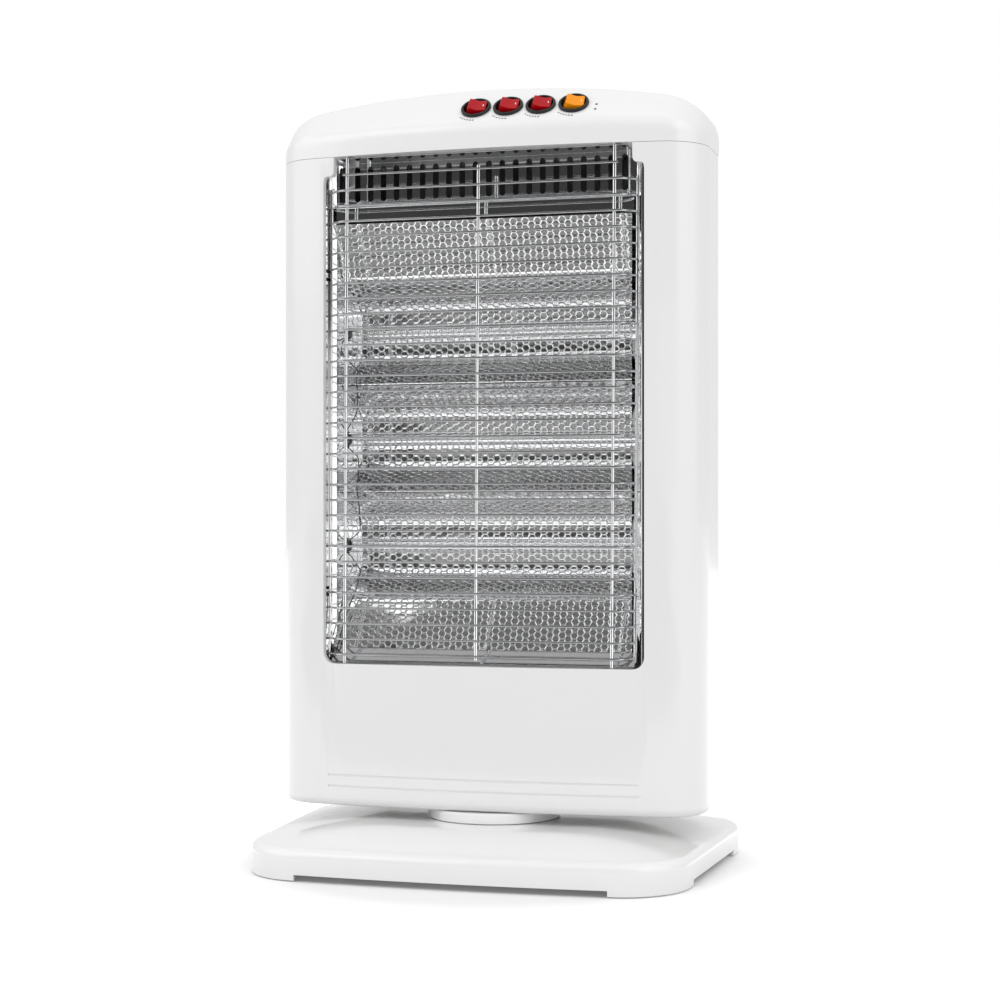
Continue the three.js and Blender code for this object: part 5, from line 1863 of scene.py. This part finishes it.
    def reflector(self, index: int) -> None:
        """Builds one embossed reflector behind its tube."""
        middle = self.tubes[index]
        line = [
            (self.ridge_y, middle + self.ridge_half),
            (self.back_y, middle + self.back_half),
            (self.back_y, middle - self.back_half),
            (self.ridge_y, middle - self.ridge_half),
        ]
        trough, flare = self.trough_bend, self.flare_bend
        bends = {1: trough, 2: trough}
        if index == 0:
            line.insert(0, self.flare_top)
            bends = {1: flare, 2: trough, 3: trough}
        if index == len(self.tubes) - 1:
            line.append(self.flare_bottom)
            bends[len(line) - 2] = flare
        reach = self.panel_mouth[0]
        mesh = folded_sheet(line, Plane.YZ, (-reach, reach), bends, FRONTWARD, self.sheet)
        self.trim_end(mesh, Side.LEFT, self.end_gap_left)
        self.trim_end(mesh, Side.RIGHT, self.end_gap_right)
        number = index + 1
        replaces = (f"reflector_{number}",)
        self.place(mesh, f"mirror_{number}", EMBOSSED_SHEET, replaces, crease_angle=60.0)

    def vent_panel(self) -> None:
        """Builds the upper panel with its row of upright slots."""
        line = [
            (self.vent_y, self.panel_high),
            (self.vent_y, self.vent_low),
            self.vent_fold,
            (self.vent_fold[0], self.vent_lip),
        ]
        span = (-self.vent_half, self.vent_half)
        bends = dict(enumerate(self.vent_bends, 1))
        mesh = folded_sheet(line, Plane.YZ, span, bends, FRONTWARD, self.vent_thickness)
        middle = (self.vent_slot_low + self.vent_slot_high) / 2
        height = self.vent_slot_high - self.vent_slot_low
        cutters = []
        for i in range(self.vent_slots):
            x = self.vent_middle + (i - (self.vent_slots - 1) / 2) * self.vent_pitch
            shape = obround(x, middle, self.vent_slot_width, height)
            cutters.append(prism(shape, Plane.XZ, self.vent_y - OVERRUN, self.vent_y + OVERRUN))
        mesh = combine(mesh, cutters)
        edges = {"edge_round": 0.6, "edge_segments": 3}
        self.place(mesh, "vent_sheet", BRIGHT_SHEET, ("vent_panel",), **edges)

    def tray(self) -> None:
        """Builds the slanted tray below the reflectors."""
        seat = self.tray_low + self.sheet
        line = [
            (self.tray_front, seat),
            (self.tray_fold, seat),
            (self.flare_bottom[0] - CLEARANCE, self.flare_bottom[1] - CLEARANCE),
        ]
        span, upward = (-self.tray_half, self.tray_half), Vector((0, 0, 1))
        mesh = folded_sheet(line, Plane.YZ, span, {1: self.tray_bend}, upward, self.sheet)
        self.place(mesh, "tray_sheet", SHADED_TRAY_SHEET, ("bottom_tray",))

    def lid(self) -> None:
        """Builds the bright strip that closes the lining under the cap."""
        low, high = self.panel_high - self.lid_sheet, self.panel_high
        rear = self.vent_y - CLEARANCE
        mesh = block((-self.lid_half, self.lid_front, low), (self.lid_half, rear, high))
        self.place(mesh, "lid_strip", BRIGHT_SHEET, edge_round=0.15)

    def heat_shield(self) -> None:
        """Builds the dark sheet between the lining and the rear shell, its dark colour painted
        shade.
        """
        line = [(self.shield_y, self.panel_low), (self.shield_y, self.panel_high)]
        span = (-self.shield_half, self.shield_half)
        mesh = folded_sheet(line, Plane.YZ, span, {}, FRONTWARD, self.sheet)
        placement = Placement("polished_aluminium")
        place_piece(mesh, "heat_shield", SHADED_SHEET, placement)

    def build(self) -> None:
        """Builds the whole lining."""
        self.side_panel(Side.LEFT)
        self.side_panel(Side.RIGHT)
        for index in range(len(self.tubes)):
            self.reflector(index)
        self.vent_panel()
        self.lid()
        self.tray()
        self.heat_shield()


@dataclass
class HeatingElements:
    """Quartz tubes, wound coils and supply leads; the ceramic ends keep the imported shape."""

    box: RadiantBox
    tube_radius: float = 5.5
    tube_wall: float = 1.0
    tube_half: float = 130.7
    coil_radius: float = 1.7
    coil_wire: float = 0.22
    coil_pitch: float = 1.9
    coil_half: float = 112.0
    coil_steps: int = 10
    coil_sides: int = 5
    tail_gap: float = 1.0
    lead_radius: float = 0.42
    lead_bend: float = 3.0
    lead_runs: tuple[tuple[Triple, ...], ...] = (
        (
            (-124.0, -3.0, 406.0), (-117.5, -9.0, 404.0), (-117.6, -19.0, 400.0),
            (-116.8, -22.0, 391.0), (-111.0, -20.0, 384.0), (-104.9, -17.5, 378.0),
            (-106.4, -17.0, 369.0), (-106.2, -14.0, 360.0), (-109.0, -9.0, 345.0),
            (-117.5, -8.0, 332.0), (-124.0, -3.0, 327.0),
        ),
        (
            (-124.0, -3.0, 323.0), (-116.5, -9.0, 319.0), (-107.5, -10.0, 311.0),
            (-105.3, -14.0, 301.0), (-106.0, -17.5, 287.0), (-105.3, -13.0, 270.0),
            (-106.5, -8.0, 253.0), (-116.0, -7.0, 246.0), (-124.0, -3.0, 243.0),
        ),
        (
            (-124.0, -3.0, 240.0), (-115.0, -8.0, 235.0), (-105.8, -9.0, 223.0),
            (-106.6, -17.0, 208.0), (-110.6, -21.0, 196.0), (-114.0, -24.0, 183.0),
            (-117.0, -28.0, 168.0), (-119.0, -31.0, 156.5),
        ),
    )

    def tube(self, index: int) -> None:
        """Builds one clear tube."""
        outer, inner, half = self.tube_radius, self.tube_radius - self.tube_wall, self.tube_half
        profile = [(inner, -half), (outer, -half), (outer, half), (inner, half)]
        lay = Matrix.Rotation(math.pi / 2, 4, "Y")
        place = Matrix.Translation((0, self.box.tube_y, self.box.tubes[index]))
        mesh = moved(turned(profile, 48), place @ lay)
        placement = Placement("quartz", (f"quartz_tube_{index + 1}",))
        place_piece(mesh, f"clear_tube_{index + 1}", QUARTZ, placement)

    def coil(self, index: int) -> None:
        """Builds one wound heating coil with straight tails."""
        middle = Vector((0, self.box.tube_y, self.box.tubes[index]))
        turns = round(2 * self.coil_half / self.coil_pitch)
        path = [middle + Vector((-self.tube_half + self.tail_gap, 0, 0))]
        for i in range(turns * self.coil_steps + 1):
            angle = 2 * math.pi * i / self.coil_steps
            x = -self.coil_half + i * self.coil_pitch / self.coil_steps
            y, z = self.coil_radius * math.cos(angle), self.coil_radius * math.sin(angle)
            path.append(middle + Vector((x, y, z)))
        path.append(middle + Vector((self.tube_half - self.tail_gap, 0, 0)))
        mesh = outward(sweep(path, self.coil_wire, self.coil_sides))
        placement = Placement("resistance_wire", (f"heating_coil_{index + 1}",))
        place_piece(mesh, f"coil_{index + 1}", HEATING_WIRE, placement)

    def lead(self, index: int) -> None:
        """Builds one thin supply lead that hangs beside the end wall."""
        corners = [Vector(point) for point in self.lead_runs[index]]
        path = rounded_path(corners, self.lead_bend, strips=4)
        mesh = outward(sweep(path, self.lead_radius, sides=8))
        placement = Placement("lead_sleeve", (f"element_lead_{index + 1}",))
        place_piece(mesh, f"lead_{index + 1}", LEAD_SLEEVE, placement)

    def build(self) -> None:
        """Builds all elements."""
        for index in range(len(self.box.tubes)):
            self.tube(index)
            self.coil(index)
            self.lead(index)


@dataclass
class WireGuard:
    """The plated wire guard in front of the reflectors."""

    wires: int = 32
    top: float = 525.8
    pitch: float = 11.83
    wire_radius: float = 0.9
    post_radius: float = 1.25
    front: float = -39.0
    front_half: float = 110.0
    side_half: float = 120.3
    side_y: float = -28.0
    shift: float = -2.0
    lean: float = 0.0062
    post_x: float = 104.5
    post_y: float = -37.25
    low: float = 152.5
    high: float = 542.1
    overhang: float = 3.0
    bend: float = 5.0
    sides: int = 12

    def wire_z(self, index: int) -> float:
        """Height of one level wire."""
        return self.top - index * self.pitch

    def level_wire(self, mesh: BMesh, index: int) -> None:
        """Draws one level wire, the first one short and straight.

        Args:
            mesh: The mesh to draw in.
            index: The wire's place from the top.
        """
        z = self.wire_z(index)
        if index == 0:
            reach = self.post_x + self.overhang
            path = [Vector((-reach, self.front, z)), Vector((reach, self.front, z))]
        else:
            corners = [
                Vector((-self.side_half, self.side_y, z)),
                Vector((-self.front_half, self.front, z)),
                Vector((self.front_half, self.front, z)),
                Vector((self.side_half, self.side_y, z)),
            ]
            path = rounded_path(corners, self.bend)
        sweep(path, self.wire_radius, self.sides, mesh)

    def post(self, mesh: BMesh, x: float, y: float, low: float, high: float) -> None:
        """Draws one upright."""
        sweep([Vector((x, y, low)), Vector((x, y, high))], self.post_radius, self.sides, mesh)

    def build(self) -> None:
        """Builds and places the level wires and the uprights of the guard."""
        wires, posts = bmesh.new(), bmesh.new()
        for index in range(self.wires):
            self.level_wire(wires, index)
        last = self.wire_z(self.wires - 1) - self.overhang
        self.post(posts, 0.0, self.post_y, last, self.wire_z(0) + self.overhang)
        for sign in (-1, 1):
            self.post(posts, sign * self.post_x, self.post_y, self.low, self.high)
            side_top = self.wire_z(1) + self.overhang
            self.post(posts, sign * self.side_half, self.side_y, last, side_top)
        settle = Matrix.Translation((self.shift - self.lean * self.high, 0, 0))
        settle[0][2] = self.lean
        # The level wires take the darker chrome, a painted shade; the posts keep the bright
        # chrome.
        for mesh, name, finish, replaces in (
            (wires, "guard_wires", SHADED_GUARD_WIRE, ("wire_guard",)),
            (posts, "guard_posts", CHROME, ()),
        ):
            placement = Placement("chrome", replaces, edge_round=0.25, crease_angle=45.0)
            place_piece(moved(mesh, settle), name, finish, placement)


# ---- Stand


@dataclass
class Stand:
    """The broad flat stand's cover and collar; its feet and screws keep the imported shape."""

    plan: BowedPlan = BowedPlan(
        front=-131.0,
        bow=9.0,
        bow_half=172.0,
        arc_start=125.3,
        arc_radius=50.0,
        bow_strips=20,
        arc_strips=18,
    )
    taper: float = 0.048
    ground_gap: float = 0.8
    skirt_top: float = 17.0
    draft: float = 1.0
    edge_radius: float = 7.0
    top: float = 35.0
    plateau: float = 0.52
    wall: float = 2.6
    notch_front: float = 116.0
    notch_side: float = 66.0
    notch_top: float = 5.0
    bore: float = 28.5
    rim_strips: int = 8
    dome_strips: int = 8
    dome_rise: float = 1.35
    dome_fall: float = 0.35
    collar_profile: tuple[Point, ...] = (
        *((20.0, 31.0), (28.0, 31.0), (28.0, 36.6), (47.5, 36.6)),
        *((47.5, 35.4), (50.4, 35.4), (51.0, 36.0), (51.0, 42.4)),
        *((50.2, 43.2), (34.0, 43.2), (34.0, 49.5), (20.0, 49.5)),
    )

    def ring(self, inset: float, z: float, share: float = 1.0) -> list[Vector]:
        """The stand's outline at a height.

        Args:
            inset: How far it lies inside the stand's outline.
            z: The height.
            share: Size against the stand's own outline.

        Returns:
            The outline's corners, from the front middle.
        """
        quarter = self.plan.front_half(inset)
        half = [*quarter, *((x, -y) for x, y in reversed(quarter))]
        points = []
        for x, y in half:
            wide = x * (1 + self.taper * y / -self.plan.front)
            points.append(Vector((wide * share, y * share, z)))
        return mirrored(points)

    def cover(self) -> None:
        """Builds the cover with its rounded rim and softly domed top."""
        loft = Loft(self.ring(self.draft, self.ground_gap))
        loft.pull(self.ring(0.0, self.skirt_top))
        for i in range(1, self.rim_strips + 1):
            turn = math.pi / 2 * i / self.rim_strips
            inset = self.edge_radius * (1 - math.cos(turn))
            loft.pull(self.ring(inset, self.skirt_top + self.edge_radius * math.sin(turn)))
        rim = self.ring(self.edge_radius, 0.0)
        plateau = self.ring(0.0, 0.0, self.plateau)
        low = self.skirt_top + self.edge_radius
        for i in range(1, self.dome_strips + 1):
            t = i / self.dome_strips
            swell = self.dome_rise * t - self.dome_fall * t**3 if t < 1 else 1.0
            z = low + (self.top - low) * swell
            loft.pull([a.lerp(b, t).xy.to_3d() + Vector((0, 0, z)) for a, b in zip(rim, plateau)])
        loft.fill(loft.ring)
        mesh = outward(loft.mesh)
        if sum(f.normal.z * f.calc_area() for f in mesh.faces) < 0:
            bmesh.ops.reverse_faces(mesh, faces=mesh.faces)
        bmesh.ops.solidify(mesh, geom=list(mesh.faces), thickness=self.wall)
        reach = self.plan.bow_half + OVERRUN * 2
        front, side, top = self.notch_front, self.notch_side, self.notch_top
        cutters = [
            block((-front, -reach, -OVERRUN), (front, reach, top)),
            block((-reach, -side, -OVERRUN), (reach, side, top)),
            rod(self.bore, Plane.XY, 0.0, self.top + OVERRUN, 96),
        ]
        mesh = tidied(combine(outward(mesh), cutters))
        placement = Placement("white_gloss", ("base_cover",), Body.STAND.value, edge_round=0.35)
        place_piece(mesh, "stand_cover", LIT_STAND_WHITE, placement)

    def collar(self) -> None:
        """Builds the turntable collar between stand and case."""
        placement = Placement("white_gloss", ("turntable_collar",))
        place_piece(turned(self.collar_profile, 128), "turntable", LIT_STAND_WHITE, placement)

    def build(self) -> None:
        """Builds the stand's shown pieces."""
        self.cover()
        self.collar()


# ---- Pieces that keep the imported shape


@dataclass
class CarriedPieces:
    """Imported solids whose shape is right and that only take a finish."""

    finishes: tuple[tuple[Finish, tuple[str, ...]], ...] = (
        (SATIN_WHITE, ("body_floor",)),
        # The base plate's dark grey is painted shade.
        (SHADED_PLATE_GREY, ("base_plate",)),
        (RUBBER, ("base_foot",)),
        (NYLON, ("swing_crank", "bearing_washer", "terminal_block")),
        (BLACK_PLASTIC, ("tilt_switch", "cord_gland")),
        (CERAMIC, ("ceramic_cap",)),
        (ZINC, ("base_screw", "swing_motor", "retaining", "rear_screw", "thermal_cutout")),
    )

    def build(self) -> None:
        """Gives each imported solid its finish."""
        for name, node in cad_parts.items():
            for finish, starts in self.finishes:
                if name.startswith(starts):
                    node.data.materials.clear()
                    node.data.materials.append(finish.material())
                    LOG.info("%s: packed shape, finish %s", name, finish.name)


# ---- Studio


@dataclass(frozen=True)
class Card:
    """A flat card beside the set that only shiny pieces see.

    Attributes:
        name: The card's name.
        azimuth: Middle of the card round the heater, in degrees from the front toward the right.
        rise: Middle of the card above the level of the camera, in degrees.
        width: Its width in degrees.
        height: Its height in degrees.
        tone: Its brightness.
        distance: How far away it stands.
    """

    name: str
    azimuth: float
    rise: float
    width: float
    height: float
    tone: float
    distance: float = 2.6


@dataclass(frozen=True)
class Softbox:
    """A large soft lamp.

    Attributes:
        name: The lamp's name.
        place: Where it hangs.
        size: Its width and height.
        power: Its power in watts.
    """

    name: str
    place: Triple
    size: Point
    power: float


@dataclass
class Studio:
    """Floor, lamps, surroundings and camera."""

    camera_distance: float = 1.523
    camera_side: float = 0.0042
    camera_height: float = 0.2635
    camera_turn: float = 15.5
    lens: float = 71.28
    sensor: float = 36.0
    shift_y: float = 0.018
    view_end: float = 50.0
    lamp_target: Triple = (0.0, 0.0, 0.3)
    floor_size: float = 12.0
    floor_tone: float = 0.8
    ambient: float = 0.845
    mirrored_tone: float = 0.85
    lift_near: float = 0.12
    lift_far: float = 1.0
    lift_start: float = 0.17
    lift_end: float = 0.36
    softboxes: tuple[Softbox, ...] = (
        Softbox("key", (-1.2, -1.6, 2.2), (1.4, 1.4), 10.0),
        Softbox("fill", (1.7, -1.4, 1.9), (1.2, 1.6), 9.0),
        Softbox("overhead", (0.0, -0.6, 2.2), (2.0, 1.6), 3.0),
    )
    cards: tuple[Card, ...] = (
        Card("dark_strip_card", -20.7, 2.5, 2.4, 11.8, 0.05, 2.4),
        Card("grey_card", -13.0, 2.5, 40.0, 12.0, 0.36),
        Card("dark_card", 7.0, 19.0, 82.0, 21.0, 0.045, 2.5),
        Card("middle_card", 10.0, 31.8, 76.0, 4.7, 0.16, 2.5),
        Card("upper_card", 12.0, 42.8, 72.0, 17.6, 0.16, 2.5),
        Card("top_card", 0.0, 68.0, 130.0, 33.0, 0.34, 2.45),
        Card("left_softbox_card", -57.0, 31.0, 66.0, 44.0, 1.6, 2.7),
        Card("right_softbox_card", 74.0, 24.0, 46.0, 70.0, 1.5, 2.7),
    )
    card_steps: int = 12
    floor_cards: tuple[tuple[str, Triple, Triple, float], ...] = (
        ("floor_card", (-1.6, -2.4, 0.002), (1.1, -0.62, 0.003), 0.3),
        ("far_floor_card", (-3.6, -6.0, 0.002), (2.2, -2.4, 0.003), 0.06),
    )

    def camera(self) -> None:
        """Places the camera at the photograph's viewing angle."""
        turn = math.radians(self.camera_turn)
        ahead = Vector((-math.sin(turn), math.cos(turn), 0))
        aside = Vector((math.cos(turn), math.sin(turn), 0))
        data = bpy.data.cameras.new("view")
        data.lens = self.lens
        data.sensor_width = self.sensor
        data.sensor_fit = "HORIZONTAL"
        data.shift_y = self.shift_y
        data.clip_end = self.view_end
        camera = added("view", data)
        camera.location = -ahead * self.camera_distance + aside * self.camera_side
        camera.location.z = self.camera_height
        camera.rotation_euler = (math.pi / 2, 0, turn)
        bpy.context.scene.camera = camera

    def lamp(self, box: Softbox) -> None:
        """Hangs one soft lamp."""
        data = bpy.data.lights.new(box.name, "AREA")
        data.shape = "RECTANGLE"
        data.size, data.size_y = box.size
        data.energy = box.power
        lamp = added(box.name, data)
        lamp.location = box.place
        aim = Vector(self.lamp_target) - lamp.location
        lamp.rotation_euler = aim.to_track_quat("-Z", "Y").to_euler()

    def seen_directly(self, graph: Graph) -> Socket:
        """Mask of the rays that look, mirror or pass through instead of lighting."""
        rays = graph.node("ShaderNodeLightPath").outputs
        direct = graph.math("MAXIMUM", rays["Is Camera Ray"], rays["Is Glossy Ray"])
        return graph.math("MAXIMUM", direct, rays["Is Transmission Ray"])

    def surroundings(self) -> None:
        """White surroundings for the eye, even pale light for the surfaces."""
        world = bpy.data.worlds.new("surroundings")
        bpy.context.scene.world = world
        graph, output = started(world, "ShaderNodeOutputWorld")
        rays = graph.node("ShaderNodeLightPath").outputs
        straight = graph.math("MAXIMUM", rays["Is Camera Ray"], rays["Is Transmission Ray"])
        glossy = graph.math("MULTIPLY", rays["Is Glossy Ray"], self.mirrored_tone - self.ambient)
        strength = graph.math("ADD", self.ambient, glossy)
        strength = graph.math("MAXIMUM", strength, straight)
        shade = graph.node("ShaderNodeBackground")
        shade.inputs["Color"].default_value = (1, 1, 1, 1)
        graph.join(strength, shade.inputs["Strength"])
        graph.join(shade.outputs[0], output.inputs["Surface"])

    def floor(self) -> None:
        """Lays the pale floor, which shows white and keeps the shadow."""
        mesh = bmesh.new()
        bmesh.ops.create_grid(mesh, x_segments=1, y_segments=1, size=self.floor_size / 2)
        material = bpy.data.materials.new("studio_floor")
        graph, output = started(material, "ShaderNodeOutputMaterial")
        surface = graph.node("ShaderNodeBsdfDiffuse")
        surface.inputs["Color"].default_value = (*[self.floor_tone] * 3, 1)
        place = graph.node("ShaderNodeTexCoord")
        away = graph.node("ShaderNodeVectorMath", operation="LENGTH")
        graph.join(place.outputs["Object"], away.inputs[0])
        limits = (self.lift_start, self.lift_end, self.lift_near, self.lift_far)
        lift = graph.spread(away.outputs["Value"], limits)
        glow = graph.node("ShaderNodeEmission")
        glow.inputs["Color"].default_value = (1, 1, 1, 1)
        strength = graph.math("MULTIPLY", self.seen_directly(graph), lift)
        graph.join(strength, glow.inputs["Strength"])
        both = graph.node("ShaderNodeAddShader")
        graph.join(surface.outputs[0], both.inputs[0])
        graph.join(glow.outputs[0], both.inputs[1])
        graph.join(both.outputs[0], output.inputs["Surface"])
        self.put("studio_floor", mesh, material)

    def put(self, name: str, mesh: BMesh, material: bpy.types.Material) -> bpy.types.Object:
        """Adds one piece of the studio.

        Args:
            name: The piece's name.
            mesh: Its shape, which is used up.
            material: Its material.

        Returns:
            The new object.
        """
        data = bpy.data.meshes.new(name)
        mesh.to_mesh(data)
        mesh.free()
        data.materials.append(material)
        piece = added(name, data)
        return piece

    def hang(self, card: Card) -> None:
        """Hangs one card round the heater."""
        middle = Vector((0, 0, self.camera_height))
        mesh = bmesh.new()
        low, high = card.rise - card.height / 2, card.rise + card.height / 2
        corners = [self.direction(card.azimuth - card.width / 2, rise) for rise in (low, high)]
        first, second = (
            bmesh.ops.create_vert(mesh, co=middle + corner * card.distance)["vert"][0]
            for corner in corners
        )
        bmesh.ops.contextual_create(mesh, geom=[first, second])
        bmesh.ops.spin(
            mesh,
            geom=[*mesh.verts, *mesh.edges],
            cent=middle,
            axis=(0, 0, 1),
            angle=math.radians(card.width),
            steps=self.card_steps,
        )
        self.show_only_mirrored(card.name, mesh, card.tone)

    def direction(self, azimuth: float, rise: float) -> Vector:
        """Direction round the heater, from the front toward the right, in degrees."""
        around, up = math.radians(azimuth), math.radians(rise)
        level = Vector((math.sin(around), -math.cos(around), 0)) * math.cos(up)
        return level + Vector((0, 0, math.sin(up)))

    def lay_floor_cards(self) -> None:
        """Lays a grey card in front of the stand and a dark one beyond it."""
        for name, low, high, tone in self.floor_cards:
            self.show_only_mirrored(name, block(low, high), tone)

    def show_only_mirrored(self, name: str, mesh: BMesh, tone: float) -> None:
        """Adds a card that only shiny surfaces see.

        Args:
            name: The card's name.
            mesh: Its shape, which is used up.
            tone: Its brightness.
        """
        material = bpy.data.materials.new(name)
        graph, output = started(material, "ShaderNodeOutputMaterial")
        surface = graph.node("ShaderNodeEmission")
        surface.inputs["Color"].default_value = (1, 1, 1, 1)
        surface.inputs["Strength"].default_value = tone
        graph.join(surface.outputs[0], output.inputs["Surface"])
        hung = self.put(name, mesh, material)
        hung.visible_camera = False
        hung.visible_diffuse = False
        hung.visible_transmission = False
        hung.visible_shadow = False

    def build(self) -> None:
        """Sets up the studio."""
        bpy.context.scene.view_settings.view_transform = "Standard"
        self.camera()
        self.surroundings()
        self.floor()
        for box in self.softboxes:
            self.lamp(box)
        for card in self.cards:
            self.hang(card)
        self.lay_floor_cards()


def main() -> None:
    """Builds the heater and its studio."""
    logging.basicConfig(level=logging.INFO, format="%(name)s %(message)s")
    Studio().build()
    switches = SwitchRow()
    FrontFrame().build()
    RearShell().build()
    ControlCap().build(switches)
    switches.build()
    box = RadiantBox()
    box.build()
    HeatingElements(box).build()
    WireGuard().build()
    Stand().build()
    CarriedPieces().build()


if __name__ == "__main__":
    main()
